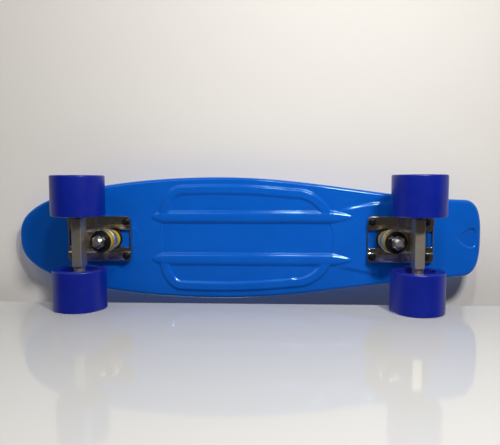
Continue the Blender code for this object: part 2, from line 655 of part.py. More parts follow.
def hanger_mesh():
    """One casting: beam and necks along the axle, yoke and ring on the kingpin, pivot finger."""
    axle_z = WHEEL_RADIUS
    road = axle_z - BEAM_DROP
    top = axle_z + BEAM_RISE
    section = (
        (-BEAM_FACE_WIDTH / 2, road),
        (BEAM_FACE_WIDTH / 2, road),
        (BEAM_TOP_WIDTH / 2, top - BEAM_RISE / 2),
        (BEAM_FACE_WIDTH / 2, top + BEAM_RISE / 4),
        (-BEAM_FACE_WIDTH / 2, top + BEAM_RISE / 4),
        (-BEAM_TOP_WIDTH / 2, top - BEAM_RISE / 2),
    )
    bm = prism([(x, -BEAM_LENGTH / 2, z) for x, z in section], (0, BEAM_LENGTH, 0))
    lengthwise = Matrix.Translation((0, 0, axle_z)) @ Matrix.Rotation(math.radians(-90), 4, "X")
    neck = skin([ring_points(NECK_RADIUS, z, AXLE_SIDES) for z in (-HANGER_WIDTH / 2, HANGER_WIDTH / 2)])
    steps = [("UNION", moved(neck, lengthwise))]

    finger_root = PIVOT - PIVOT_DIRECTION * PIVOT_LENGTH
    inset = KINGPIN_DIRECTION * WEB_INSET
    outward = Vector((math.cos(KINGPIN_LEAN), 0.0, math.sin(KINGPIN_LEAN)))
    road_side = RING_CENTRE + KINGPIN_DIRECTION * (RING_THICKNESS / 2) - inset
    board_side = RING_CENTRE - KINGPIN_DIRECTION * (RING_THICKNESS / 2) + inset
    ring_edge = outward * (RING_RADIUS + WEB_RING_MARGIN)
    ring_inside = outward * (RING_BORE + WEB_RING_OVERLAP)
    half_face = BEAM_FACE_WIDTH / 2
    web_corners = [
        (-half_face - WEB_CROWN_FLARE, top + WEB_CROWN),
        (-half_face - WEB_SIDE_FLARE, top - WEB_SIDE_DROP),
        (-half_face + WEB_INSET, road + WEB_ROAD_INSET),
        (half_face - WEB_INSET, road + WEB_ROAD_INSET),
        (BEAM_TOP_WIDTH / 2 - WEB_SIDE_FLARE, top - 2 * WEB_SIDE_DROP),
    ]
    for x, z in (FINGER_FRONT, FINGER_TOP, FINGER_BACK):
        web_corners.append((finger_root.x + x, finger_root.z + z))
    web = [road_side + ring_inside, road_side + ring_edge]
    web += [Vector((x, 0, z)) for x, z in web_corners]
    web += [board_side + ring_edge, board_side + ring_inside]
    yoke = prism([(spot.x, -YOKE_WIDTH / 2, spot.z) for spot in web], (0, YOKE_WIDTH, 0))
    steps.append(("UNION", yoke))
    beam_end = top + BEAM_RISE / 4
    pocket = slab(
        RING_CENTRE.x + RING_RADIUS + YOKE_POCKET_MARGIN,
        -half_face + YOKE_POCKET_MARGIN / 4,
        YOKE_POCKET_WIDTH,
        beam_end + YOKE_POCKET_MARGIN,
        beam_end + YOKE_POCKET_DEPTH,
    )
    steps.append(("DIFFERENCE", pocket))
    finger = turned(
        (
            (0.0, -FINGER_ROOT_DEPTH),
            (PIVOT_ROOT_RADIUS, -FINGER_ROOT_DEPTH),
            (PIVOT_ROOT_RADIUS, 0.0),
            (PIVOT_TIP_RADIUS, PIVOT_LENGTH * FINGER_TAPER_END),
            (PIVOT_TIP_RADIUS, PIVOT_LENGTH),
            (PIVOT_TIP_RADIUS * 0.8, PIVOT_LENGTH + PIVOT_TIP_RADIUS * 0.6),
            (0.0, PIVOT_LENGTH + PIVOT_TIP_RADIUS),
        ),
        PIVOT_SIDES,
    )
    steps.append(("UNION", moved(finger, aimed(finger_root, PIVOT_DIRECTION))))
    ring = skin([ring_points(RING_RADIUS, z, RING_SIDES) for z in (0, RING_THICKNESS)])
    steps.append(("UNION", moved(ring, on_kingpin(RING_AT))))
    axle_bore = AXLE_RADIUS + GAP
    bore = skin([ring_points(axle_bore, z, AXLE_SIDES) for z in (-HANGER_WIDTH, HANGER_WIDTH)])
    steps.append(("DIFFERENCE", moved(bore, lengthwise)))
    hole_ends = (-OUTER_BUSHING_HEIGHT, RING_THICKNESS + OUTER_BUSHING_HEIGHT)
    hole = skin([ring_points(RING_BORE, z, STACK_SIDES) for z in hole_ends])
    steps.append(("DIFFERENCE", moved(hole, on_kingpin(RING_AT))))
    return combine(to_mesh(bm, "hanger"), steps)


def bushing_mesh(height):
    bore = KINGPIN_RADIUS + GAP
    profile = (
        (BUSHING_END_RADIUS, 0.0),
        (BUSHING_RADIUS, height * 0.4),
        (BUSHING_RADIUS, height * 0.6),
        (BUSHING_END_RADIUS, height),
        (bore, height),
        (bore, 0.0),
    )
    return to_mesh(turned(profile, STACK_SIDES), "bushing")


def cup_washer_mesh():
    """A dished washer whose floor lies at z = 0 and whose rim rises along +Z round a bushing."""
    inside = BUSHING_RADIUS + GAP
    outside = inside + CUP_WALL
    bore = KINGPIN_RADIUS + GAP
    profile = (
        (bore, 0.0),
        (outside - CUP_WALL * 0.6, 0.0),
        (outside, CUP_WALL * 0.6),
        (outside, CUP_DEPTH),
        (inside, CUP_DEPTH),
        (inside, CUP_THICKNESS),
        (bore, CUP_THICKNESS),
    )
    return to_mesh(turned(profile, STACK_SIDES), "cup_washer")


def kingpin_mesh():
    chamfer = KINGPIN_RADIUS * CHAMFER_SHARE
    head_end = KINGPIN_HEAD_START + KINGPIN_HEAD_HEIGHT
    loops = [
        hex_points(KINGPIN_HEAD_FLATS, KINGPIN_HEAD_START),
        hex_points(KINGPIN_HEAD_FLATS, head_end),
        ring_points(KINGPIN_RADIUS, head_end, 12),
        ring_points(KINGPIN_RADIUS, KINGPIN_LENGTH - chamfer, 12),
        ring_points(KINGPIN_RADIUS - chamfer, KINGPIN_LENGTH, 12),
    ]
    return to_mesh(skin(loops), "kingpin")


def kingpin_nut_mesh():
    bore = KINGPIN_RADIUS + GAP
    total = KINGPIN_NUT_HEIGHT + KINGPIN_NUT_COLLAR
    loops = [
        ring_points(bore, 0, 12),
        hex_points(KINGPIN_NUT_FLATS, 0),
        hex_points(KINGPIN_NUT_FLATS, KINGPIN_NUT_HEIGHT),
        ring_points(KINGPIN_NUT_COLLAR_RADIUS, KINGPIN_NUT_HEIGHT, 12),
        ring_points(KINGPIN_NUT_COLLAR_RADIUS, total, 12),
        ring_points(bore, total, 12),
    ]
    return to_mesh(skin(loops, ring=True), "kingpin_nut")


def plain_nut_mesh(name, flats, bore_radius, height):
    bore = bore_radius + GAP
    loops = [
        ring_points(bore, 0, 12),
        hex_points(flats, 0),
        hex_points(flats, height),
        ring_points(bore, height, 12),
    ]
    return to_mesh(skin(loops, ring=True), name)


def bolt_mesh():
    top = DECK_TOP - BOLT_HEAD_SINK
    bottom = RAIL_Z - GAP - NUT_HEIGHT - BOLT_END
    loops = [
        ring_points(BOLT_HEAD_RADIUS, top, SMALL_SIDES),
        ring_points(BOLT_HEAD_RADIUS, top - BOLT_HEAD_RIM, SMALL_SIDES),
        ring_points(BOLT_RADIUS, top - BOLT_HEAD_DEPTH, SMALL_SIDES),
        ring_points(BOLT_RADIUS, bottom, SMALL_SIDES),
    ]
    return to_mesh(skin(loops), "mounting_bolt")


def pivot_cup_mesh():
    """A socket whose closed end lies past the finger's tip; z = 0 is the pivot's centre."""
    inside = PIVOT_TIP_RADIUS + GAP
    outside = SOCKET_RADIUS
    floor = PIVOT_TIP_RADIUS + GAP
    end = floor + CUP_SOCKET_WALL
    mouth = end - CUP_SOCKET_DEPTH
    profile = (
        (0.0, end),
        (outside * 0.8, end),
        (outside, end - outside * 0.2),
        (outside, mouth),
        (inside, mouth),
        (inside, 0.0),
        (inside * 0.82, floor * 0.62),
        (0.0, floor),
    )
    return to_mesh(turned(profile, PIVOT_SIDES), "pivot_cup")


def axle_mesh():
    chamfer = AXLE_RADIUS * CHAMFER_SHARE
    loops = [
        ring_points(AXLE_RADIUS - chamfer, -AXLE_HALF, AXLE_SIDES),
        ring_points(AXLE_RADIUS, -AXLE_HALF + chamfer, AXLE_SIDES),
        ring_points(AXLE_RADIUS, AXLE_HALF - chamfer, AXLE_SIDES),
        ring_points(AXLE_RADIUS - chamfer, AXLE_HALF, AXLE_SIDES),
    ]
    return to_mesh(skin(loops), "axle")


# ------------------------------------------------------------------ wheel pieces
def wheel_mesh():
    half = WHEEL_WIDTH / 2
    seat = BEARING_RADIUS + GAP
    shelf = BEARING_SPACING / 2
    right = [
        (WHEEL_RADIUS, half - WHEEL_EDGE),
        (WHEEL_RADIUS - WHEEL_EDGE, half),
        (WHEEL_RECESS_MOUTH_RADIUS, half),
        (WHEEL_RECESS_FLOOR_RADIUS, STACK_HALF),
        (seat, STACK_HALF),
        (seat, shelf),
        (WHEEL_SHOULDER_RADIUS, shelf),
    ]
    left = [(radius, -height) for radius, height in reversed(right)]
    return to_mesh(turned(right + left, WHEEL_SIDES), "wheel")


def bearing_mesh():
    """Outer race and shields; the inner race turns inside it with a running clearance."""
    inside = INNER_RACE_RADIUS + GAP
    end = BEARING_WIDTH
    chamfer = BEARING_CHAMFER
    profile = (
        (inside, GAP),
        (BEARING_RADIUS, GAP),
        (BEARING_RADIUS, end - chamfer),
        (BEARING_RADIUS - chamfer, end),
        (inside, end),
    )
    return to_mesh(turned(profile, BEARING_SIDES), "bearing")


def race_stack_mesh():
    """Spacer, two inner races and two speed washers, clamped together on the axle."""
    bore = AXLE_RADIUS + GAP
    shelf = BEARING_SPACING / 2
    end = STACK_HALF + SPEED_WASHER
    washer = STACK_HALF + GAP
    right = [
        (SPACER_RADIUS, shelf),
        (INNER_RACE_RADIUS, shelf),
        (INNER_RACE_RADIUS, washer),
        (SPEED_WASHER_RADIUS, washer),
        (SPEED_WASHER_RADIUS, end),
        (bore, end),
    ]
    left = [(radius, -height) for radius, height in reversed(right)]
    return to_mesh(turned(right + left, AXLE_SIDES), "race_stack")


# ------------------------------------------------------------------ assembly
def build_truck(end, meshes, materials):
    frame = bpy.data.objects.new(f"{end}_truck", None)
    bpy.context.scene.collection.objects.link(frame)
    frame.matrix_world = truck_frame(end)

    def add(name, mesh, material, matrix=None):
        return place(f"{end}_{name}", meshes[mesh], materials[material], frame, matrix)

    add("baseplate", "baseplate", "chrome")
    add("pivot_cup", "pivot_cup", "cup_plastic", aimed(PIVOT, PIVOT_DIRECTION))
    add("kingpin", "kingpin", "steel", on_kingpin(0.0))
    add("kingpin_nut", "kingpin_nut", "chrome", on_kingpin(KINGPIN_NUT_AT))
    flip = Matrix.Rotation(math.pi, 4, "X")
    add("board_side_cup_washer", "cup_washer", "black_zinc", on_kingpin(INNER_CUP_AT))
    road_cup_place = on_kingpin(OUTER_CUP_AT + CUP_THICKNESS) @ flip
    add("road_side_cup_washer", "cup_washer", "black_zinc", road_cup_place)
    add("board_side_bushing", "inner_bushing", "bushing_yellow", on_kingpin(INNER_BUSHING_AT))
    add("road_side_bushing", "outer_bushing", "bushing_yellow", on_kingpin(OUTER_BUSHING_AT))

    for number, (x, y) in enumerate(hole_places(), 1):
        add(f"mounting_bolt_{number}", "bolt", "black_zinc", Matrix.Translation((x, y, 0)))
        nut_place = Matrix.Translation((x, y, RAIL_Z - GAP - NUT_HEIGHT))
        add(f"mounting_nut_{number}", "mounting_nut", "black_zinc", nut_place)

    # The hanger turns about the line from the ring's centre to the pivot.
    steering = bpy.data.objects.new(f"{end}_steering", None)
    bpy.context.scene.collection.objects.link(steering)
    steering.parent = frame
    steering_frame = aimed(PIVOT, PIVOT_DIRECTION)
    steering.matrix_local = steering_frame
    to_steering = steering_frame.inverted()
    axle_frame = Matrix.Translation((0, 0, WHEEL_RADIUS)) @ Matrix.Rotation(math.radians(-90), 4, "X")

    def add_to_hanger(name, mesh, material, matrix=None):
        piece_matrix = to_steering @ (matrix or Matrix.Identity(4))
        return place(f"{end}_{name}", meshes[mesh], materials[material], steering, piece_matrix)

    add_to_hanger("hanger", "hanger", "chrome")
    add_to_hanger("axle", "axle", "steel", axle_frame)
    # A truck turned round has its own left on the board's right.
    for side in (1, -1):
        board_side = side if end == "front" else -side
        label = "left" if board_side > 0 else "right"
        outward = axle_frame @ Matrix.Rotation(0.0 if side > 0 else math.pi, 4, "X")
        hub = outward @ Matrix.Translation((0, 0, WHEEL_Y))
        add_to_hanger(f"{label}_wheel", "wheel", "wheel_blue", hub)
        add_to_hanger(f"{label}_race_stack", "race_stack", "steel", hub)
        shelf = BEARING_SPACING / 2
        outer = hub @ Matrix.Translation((0, 0, shelf))
        inner = hub @ Matrix.Rotation(math.pi, 4, "X") @ Matrix.Translation((0, 0, shelf))
        add_to_hanger(f"{label}_outboard_bearing", "bearing", "steel", outer)
        add_to_hanger(f"{label}_inboard_bearing", "bearing", "steel", inner)
        nut = outward @ Matrix.Translation((0, 0, AXLE_NUT_Y))
        add_to_hanger(f"{label}_axle_nut", "axle_nut", "steel", nut)


def main():
    clear_scene()
    materials = {name: make_material(name) for name in COLOURS}
    place("deck", deck_mesh(), materials["deck_blue"])
    meshes = {
        "baseplate": baseplate_mesh(),
        "pivot_cup": pivot_cup_mesh(),
        "kingpin": kingpin_mesh(),
        "kingpin_nut": kingpin_nut_mesh(),
        "cup_washer": cup_washer_mesh(),
        "inner_bushing": bushing_mesh(INNER_BUSHING_HEIGHT),
        "outer_bushing": bushing_mesh(OUTER_BUSHING_HEIGHT),
        "bolt": bolt_mesh(),
        "mounting_nut": plain_nut_mesh("mounting_nut", NUT_FLATS, BOLT_RADIUS, NUT_HEIGHT),
        "hanger": hanger_mesh(),
        "axle": axle_mesh(),
        "wheel": wheel_mesh(),
        "bearing": bearing_mesh(),
        "race_stack": race_stack_mesh(),
        "axle_nut": plain_nut_mesh("axle_nut", AXLE_NUT_FLATS, AXLE_RADIUS, AXLE_NUT_HEIGHT),
    }
    for end in ("front", "rear"):
        build_truck(end, meshes, materials)
    bpy.context.view_layer.update()


main()
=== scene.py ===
"""Looks of a moulded-plastic mini cruiser skateboard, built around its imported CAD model."""

import json
import math

import bmesh
import bpy
import numpy as np
from mathutils import Matrix, Vector, kdtree


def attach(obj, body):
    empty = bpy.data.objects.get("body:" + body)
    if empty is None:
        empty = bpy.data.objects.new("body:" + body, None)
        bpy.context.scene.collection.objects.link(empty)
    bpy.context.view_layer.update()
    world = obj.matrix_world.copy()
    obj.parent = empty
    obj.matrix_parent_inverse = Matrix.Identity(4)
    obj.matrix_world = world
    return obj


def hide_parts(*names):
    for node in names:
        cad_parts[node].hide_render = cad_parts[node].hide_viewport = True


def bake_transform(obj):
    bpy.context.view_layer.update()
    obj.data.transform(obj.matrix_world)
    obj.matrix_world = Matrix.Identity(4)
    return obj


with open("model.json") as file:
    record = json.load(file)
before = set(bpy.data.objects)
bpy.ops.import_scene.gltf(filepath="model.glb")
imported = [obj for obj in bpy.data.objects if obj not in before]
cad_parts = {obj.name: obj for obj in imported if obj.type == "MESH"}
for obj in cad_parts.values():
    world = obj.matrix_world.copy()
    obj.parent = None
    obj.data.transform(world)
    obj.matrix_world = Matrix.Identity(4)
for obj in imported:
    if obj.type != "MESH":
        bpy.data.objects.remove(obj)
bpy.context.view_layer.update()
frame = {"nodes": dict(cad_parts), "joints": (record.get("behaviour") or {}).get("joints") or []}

# ------------------------------------------------------------------ places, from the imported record
JOINTS = {joint["name"]: joint for joint in frame["joints"]}
AXLE_X = {end: JOINTS[f"{end}_left_spin"]["pos_m"][0] for end in ("front", "rear")}
AXLE_Z = JOINTS["front_left_spin"]["pos_m"][2]
WHEEL_Y = JOINTS["front_left_spin"]["pos_m"][1]
PIVOT = {end: Vector(JOINTS[f"{end}_steer"]["pos_m"]) for end in ("front", "rear")}
MIDDLE_X = (AXLE_X["front"] + AXLE_X["rear"]) / 2
TURN = {"front": 0.0, "rear": math.pi}
TRUCK = {
    end: Matrix.Translation((AXLE_X[end], 0, 0)) @ Matrix.Rotation(TURN[end], 4, "Z")
    for end in ("front", "rear")
}
SIDES = {"left": 1, "right": -1}

# ------------------------------------------------------------------ deck sizes
DECK_LENGTH = 0.575
DECK_WIDTH = 0.149
DECK_THICKNESS = 0.011
DECK_Z = 0.079
DECK_TOP = DECK_Z + DECK_THICKNESS
DECK_ROUND = 0.0042
DECK_WIDEST_X = 0.035
NOSE_TAPER = 1.95
NOSE_ROUNDNESS = 2.6
TAIL_WIDTH = 0.093
TAIL_CORNER = 0.0255
TAIL_CORNER_FULLNESS = 2.5
TAIL_CORNER_ROUNDNESS = 3.0
NOSE_RISE = 0.010
TAIL_RISE = 0.018
KICK_CURVE = 1.4
NOSE_BEND_X = AXLE_X["front"] + 0.0337
TAIL_BEND_X = AXLE_X["rear"] - 0.0337


# ------------------------------------------------------------------ small helpers
def smooth_step(low, high, value):
    share = np.clip((value - low) / (high - low), 0.0, 1.0)
    return share * share * (3 - 2 * share)


def soft_max(a, b, blend):
    return 0.5 * (a + b + np.sqrt((a - b) ** 2 + blend**2)) - 0.5 * blend


def mesh_from(name, verts, faces):
    mesh = bpy.data.meshes.new(name)
    mesh.from_pydata([tuple(v) for v in verts], [], faces)
    mesh.validate()
    return mesh


def finish_mesh(mesh, material, smooth_angle=40):
    """Outward normals, one material, and smooth shading up to an angle."""
    bm = bmesh.new()
    bm.from_mesh(mesh)
    bmesh.ops.recalc_face_normals(bm, faces=bm.faces)
    bm.to_mesh(mesh)
    bm.free()
    mesh.materials.clear()
    mesh.materials.append(material)
    mesh.shade_smooth()
    if smooth_angle < 180:
        mesh.set_sharp_from_angle(angle=math.radians(smooth_angle))
    return mesh


def add_piece(name, mesh, body, matrix=None, replaces=()):
    piece = bpy.data.objects.new(name, mesh)
    bpy.context.scene.collection.objects.link(piece)
    if matrix is not None:
        piece.matrix_world = matrix
    if body:
        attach(piece, body)
    if replaces:
        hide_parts(*replaces)
    return piece


# ------------------------------------------------------------------ materials
NOISE_SPAN = (0.3, 0.7)
RELIEF_DEPTH = 0.0002


def node_tools(material):
    tree = material.node_tree

    def add(kind, **settings):
        node = tree.nodes.new(kind)
        for key, value in settings.items():
            if key in node.inputs:
                node.inputs[key].default_value = value
            else:
                setattr(node, key, value)
        return node

    return tree, add


def surface(
    name,
    colour,
    roughness,
    metallic=0.0,
    variation=0.12,
    grain=0.002,
    rough_spread=0.08,
    bump=0.05,
    bump_size=0.0006,
    settings=(),
):
    """A principled surface whose colour, roughness and relief vary by noise in object space."""
    material = bpy.data.materials.new(name)
    material.use_nodes = True
    tree, add = node_tools(material)
    shader = tree.nodes["Principled BSDF"]
    shader.inputs["Metallic"].default_value = metallic
    for key, value in settings:
        shader.inputs[key].default_value = value
    place = add("ShaderNodeTexCoord")
    cloud = add("ShaderNodeTexNoise", Scale=1 / grain, Detail=4.0, Roughness=0.6)
    tree.links.new(place.outputs["Object"], cloud.inputs["Vector"])
    ramp = add("ShaderNodeValToRGB")
    dark = [c * (1 - variation) for c in colour]
    light = [min(1.0, c * (1 + variation)) for c in colour]
    for element, place_in_noise, shade in zip(ramp.color_ramp.elements, NOISE_SPAN, (dark, light)):
        element.position = place_in_noise
        element.color = (*shade, 1)
    tree.links.new(cloud.outputs["Fac"], ramp.inputs["Fac"])
    tree.links.new(ramp.outputs["Color"], shader.inputs["Base Color"])

    spread = add("ShaderNodeMapRange")
    spread.inputs["From Min"].default_value = NOISE_SPAN[0]
    spread.inputs["From Max"].default_value = NOISE_SPAN[1]
    spread.inputs["To Min"].default_value = max(0.02, roughness - rough_spread)
    spread.inputs["To Max"].default_value = min(1.0, roughness + rough_spread)
    tree.links.new(cloud.outputs["Fac"], spread.inputs["Value"])
    tree.links.new(spread.outputs["Result"], shader.inputs["Roughness"])

    fine = add("ShaderNodeTexNoise", Scale=1 / bump_size, Detail=3.0, Roughness=0.55)
    tree.links.new(place.outputs["Object"], fine.inputs["Vector"])
    relief = add("ShaderNodeBump", Strength=bump, Distance=RELIEF_DEPTH)
    tree.links.new(fine.outputs["Fac"], relief.inputs["Height"])
    tree.links.new(relief.outputs["Normal"], shader.inputs["Normal"])
    return material


DECK_BLUE = (0.003, 0.106, 0.555)
DECK_SHEEN = (0.45, 0.85, 1.0, 1.0)
WHEEL_BLUE = (0.0006, 0.0110, 0.262)
BUSHING_YELLOW = (0.66, 0.47, 0.015)


def translucency(weight, radius, scale):
    """The shader settings of light that goes a little way into a plastic."""
    return (("Subsurface Weight", weight), ("Subsurface Radius", radius), ("Subsurface Scale", scale))


MATERIALS = {
    "deck": surface(
        "glossy_blue_polypropylene",
        DECK_BLUE,
        0.15,
        variation=0.05,
        grain=0.03,
        rough_spread=0.03,
        bump=0.012,
        bump_size=0.0016,
        settings=(("Specular IOR Level", 0.55), ("Specular Tint", DECK_SHEEN)),
    ),
    "wheel": surface(
        "satin_blue_urethane",
        WHEEL_BLUE,
        0.32,
        variation=0.10,
        grain=0.02,
        rough_spread=0.03,
        bump=0.015,
        bump_size=0.0012,
        settings=translucency(0.04, (0.2, 0.3, 1.0), 0.001),
    ),
    "bushing": surface(
        "yellow_urethane",
        BUSHING_YELLOW,
        0.34,
        variation=0.06,
        grain=0.004,
        bump=0.01,
        settings=translucency(0.25, (1.0, 0.7, 0.1), 0.0015),
    ),
    "baseplate": surface(
        "polished_cast_plate",
        (0.62, 0.58, 0.54),
        0.16,
        metallic=1.0,
        variation=0.08,
        grain=0.008,
        rough_spread=0.04,
        bump=0.012,
        bump_size=0.0016,
    ),
    "hanger": surface(
        "satin_cast_hanger",
        (0.72, 0.66, 0.57),
        0.44,
        metallic=1.0,
        variation=0.07,
        grain=0.0012,
        rough_spread=0.04,
        bump=0.03,
        bump_size=0.0005,
    ),
    "chrome": surface(
        "bright_plating",
        (0.80, 0.80, 0.81),
        0.16,
        metallic=1.0,
        variation=0.05,
        grain=0.003,
        rough_spread=0.04,
        bump=0.006,
    ),
    "steel": surface(
        "turned_steel",
        (0.74, 0.74, 0.75),
        0.40,
        metallic=1.0,
        variation=0.07,
        rough_spread=0.04,
        bump=0.015,
        bump_size=0.0003,
    ),
    "black_steel": surface(
        "black_zinc_plating",
        (0.012, 0.012, 0.013),
        0.30,
        metallic=0.4,
        variation=0.20,
        rough_spread=0.05,
        bump=0.02,
    ),
    "shield": surface("bearing_shield", (0.30, 0.30, 0.31), 0.34, metallic=1.0),
    "cup": surface("black_cup_plastic", (0.02, 0.02, 0.022), 0.45, variation=0.2, bump=0.08),
}


# ------------------------------------------------------------------ deck
def deck_half_width(x):
    nose = np.clip((x - DECK_WIDEST_X) / (DECK_LENGTH / 2 - DECK_WIDEST_X), 0, 1)
    front = DECK_WIDTH / 2 * (1 - nose**NOSE_TAPER) ** (1 / NOSE_ROUNDNESS)
    tail = np.clip((DECK_WIDEST_X - x) / (DECK_WIDEST_X + DECK_LENGTH / 2), 0, 1)
    side = TAIL_WIDTH / 2 + (DECK_WIDTH - TAIL_WIDTH) / 2 * np.cos(np.pi * tail / 2) ** 2
    corner = np.clip((TAIL_CORNER - DECK_LENGTH / 2 - x) / TAIL_CORNER, 0, 1)
    back = side * (1 - corner**TAIL_CORNER_FULLNESS) ** (1 / TAIL_CORNER_ROUNDNESS)
    return np.where(x >= DECK_WIDEST_X, front, back)


def deck_rise(x):
    nose = np.clip((x - NOSE_BEND_X) / (DECK_LENGTH / 2 - NOSE_BEND_X), 0, 1)
    tail = np.clip((TAIL_BEND_X - x) / (TAIL_BEND_X + DECK_LENGTH / 2), 0, 1)
    return NOSE_RISE * nose**KICK_CURVE + TAIL_RISE * tail**KICK_CURVE


def nearest_distance(points, path):
    """Distance from each (x, y) point to the nearest of the path's points."""
    tree = kdtree.KDTree(len(path))
    for i, (x, y) in enumerate(path):
        tree.insert((x, y, 0), i)
    tree.balance()
    return np.array([tree.find((x, y, 0))[2] for x, y in points])


EDGE_POINTS = 3000
TIP_ZONE = 0.004
TIP_POINTS = 300
NOSE_FLAT_HALF = 0.003
TAIL_FLAT_HALF = 0.006


def deck_edge():
    """The deck's outline as dense (x, y) points, closer together at its two tips."""
    tip = DECK_LENGTH / 2
    x = tip * np.sin(np.linspace(-1, 1, EDGE_POINTS) * np.pi / 2)
    from_tip = TIP_ZONE * np.linspace(0, 1, TIP_POINTS) ** 3
    x = np.concatenate([x, tip - from_tip, from_tip - tip])
    w = deck_half_width(x)
    points = [np.stack([x, w], 1), np.stack([x, -w], 1)]
    for end, half in ((tip, NOSE_FLAT_HALF), (-tip, TAIL_FLAT_HALF)):
        y = np.linspace(-half, half, 40)
        points.append(np.stack([np.full(len(y), end), y], 1))
    return np.concatenate(points)


STRAIGHT_RIB_Y = 0.026
STRAIGHT_RIB_HALF = 0.0080
STRAIGHT_RIB_HEIGHT = 0.0030
NOSE_TIP_X = MIDDLE_X + 0.1190
TAIL_TIP_X = MIDDLE_X - 0.1285
NOSE_TAPER_LENGTH = 0.014
TAIL_TAPER_LENGTH = 0.026
RIB_CROWN = 2.8
RIB_FOOT_BLEND = 0.10
SIDE_RIB_HALF = 0.0068
SIDE_RIB_HEIGHT = 0.0021
SIDE_RIB_INSET = 0.0150
SIDE_RIB_NOSE_X = NOSE_TIP_X - 0.038
SIDE_RIB_TAIL_X = TAIL_TIP_X + 0.075
SIDE_RIB_NOSE_REACH = 0.022
SIDE_RIB_TAIL_REACH = 0.043
PANEL_NOSE_X = MIDDLE_X + 0.1057
PANEL_TAIL_X = MIDDLE_X - 0.0990
PANEL_BULGE = 0.0038
PANEL_DEPTH = 0.0008
PAD_FRONT_X = MIDDLE_X - 0.098
PAD_BACK_X = AXLE_X["rear"] - 0.040
PAD_FLARE_X = MIDDLE_X - 0.102
PAD_HALF = 0.0350
PAD_FLARE = 0.0090
PAD_FLARE_LENGTH = 0.062
PAD_HEIGHT = 0.0019
# Round marks of the mould: place, height, and the radii between which the edge falls away.
MOULD_MARKS = (
    (MIDDLE_X + 0.1455, 0.0005, 0.0128, 0.0142),
    (MIDDLE_X - 0.2120, 0.0004, 0.0128, 0.0146),
)


def side_rib_path():
    """Middle line of the side rib on +Y, as dense (x, y) points."""
    root = STRAIGHT_RIB_Y
    angle = np.linspace(0, np.pi / 2, 120)
    reach = deck_half_width(np.array(SIDE_RIB_NOSE_X)) - SIDE_RIB_INSET - root
    x = SIDE_RIB_NOSE_X + SIDE_RIB_NOSE_REACH * np.cos(angle)
    front = np.stack([x, root + reach * np.sin(angle)], 1)
    x = np.linspace(SIDE_RIB_NOSE_X, SIDE_RIB_TAIL_X, 500)
    side = np.stack([x, deck_half_width(x) - SIDE_RIB_INSET], 1)
    share = np.linspace(0, 1, 160)
    reach = deck_half_width(np.array(SIDE_RIB_TAIL_X)) - SIDE_RIB_INSET - root
    x = SIDE_RIB_TAIL_X - SIDE_RIB_TAIL_REACH * share
    back = np.stack([x, root + reach * (1 - share**2.4) ** 0.82], 1)
    return np.concatenate([front, side, back])


def rib_relief(x, y):
    """The two straight ribs, which taper at both ends, and the curved ribs beside them."""
    level = np.abs(y)
    to_nose = np.clip((NOSE_TIP_X - x) / NOSE_TAPER_LENGTH, 0, 1) ** 0.6
    to_tail = np.clip((x - TAIL_TIP_X) / TAIL_TAPER_LENGTH, 0, 1) ** 0.75
    size = np.maximum(to_nose * to_tail, 1e-4)
    across = np.abs(level - STRAIGHT_RIB_Y) / (STRAIGHT_RIB_HALF * size)
    crown = 1 - np.clip(across, 0, 3) ** RIB_CROWN
    straight = STRAIGHT_RIB_HEIGHT * size * soft_max(crown, 0 * crown, RIB_FOOT_BLEND)

    flat = np.stack([x.ravel(), level.ravel()], 1)
    reach = nearest_distance(flat, side_rib_path()).reshape(x.shape)
    side = SIDE_RIB_HEIGHT * (1 - smooth_step(0.50, 1.02, reach / SIDE_RIB_HALF))
    return soft_max(straight, side, 0.0003)


def panel_depth(x, y):
    """The shallow panel between the straight ribs, with a rounded end towards the tail."""
    level = np.abs(y)
    bulge = PANEL_BULGE * (1 - np.clip(level / 0.018, 0, 1) ** 2)
    in_front = smooth_step(-0.0005, 0.0005, PANEL_NOSE_X - x)
    in_back = smooth_step(-0.0005, 0.0005, x - (PANEL_TAIL_X - bulge))
    between = 1 - smooth_step(0.0175, 0.0195, level)
    return PANEL_DEPTH * in_front * in_back * between


def rear_pad_relief(x, y):
    """The raised pad under the rear truck, which flares towards the tail."""
    edge = PAD_HALF + PAD_FLARE * smooth_step(0.0, PAD_FLARE_LENGTH, PAD_FLARE_X - x)
    across = 1 - smooth_step(-0.0030, 0.0022, np.abs(y) - edge)
    along = smooth_step(0.0, 0.030, PAD_FRONT_X - x) * smooth_step(0.0, 0.018, x - PAD_BACK_X)
    return PAD_HEIGHT * across * along


def underside_relief(x, y):
    """How far the moulded underside stands proud of its flat level, at arrays of x and y."""
    height = rib_relief(x, y) - panel_depth(x, y) + rear_pad_relief(x, y)
    for mark_x, mark_height, top, foot in MOULD_MARKS:
        height = height + mark_height * (1 - smooth_step(top, foot, np.hypot(x - mark_x, y)))
    return height - tail_recess(x, y)


RECESS_POINT_X = -0.2550
RECESS_END_X = -0.2808
RECESS_HALF = 0.0137
RECESS_STEP_X = -0.2768
RECESS_DEPTH = 0.0010
RECESS_STEP = 0.0011
RECESS_MARGIN = 0.003


def recess_half_width(x):
    """Half the width, at x, of the tail's recess: a triangle with round corners and full sides."""
    share = np.clip((RECESS_POINT_X - x) / (RECESS_POINT_X - RECESS_END_X), 0, 1)
    return RECESS_HALF * (1 - (1 - share) ** 1.8) ** 0.8 * (1 - share**8) ** 0.5


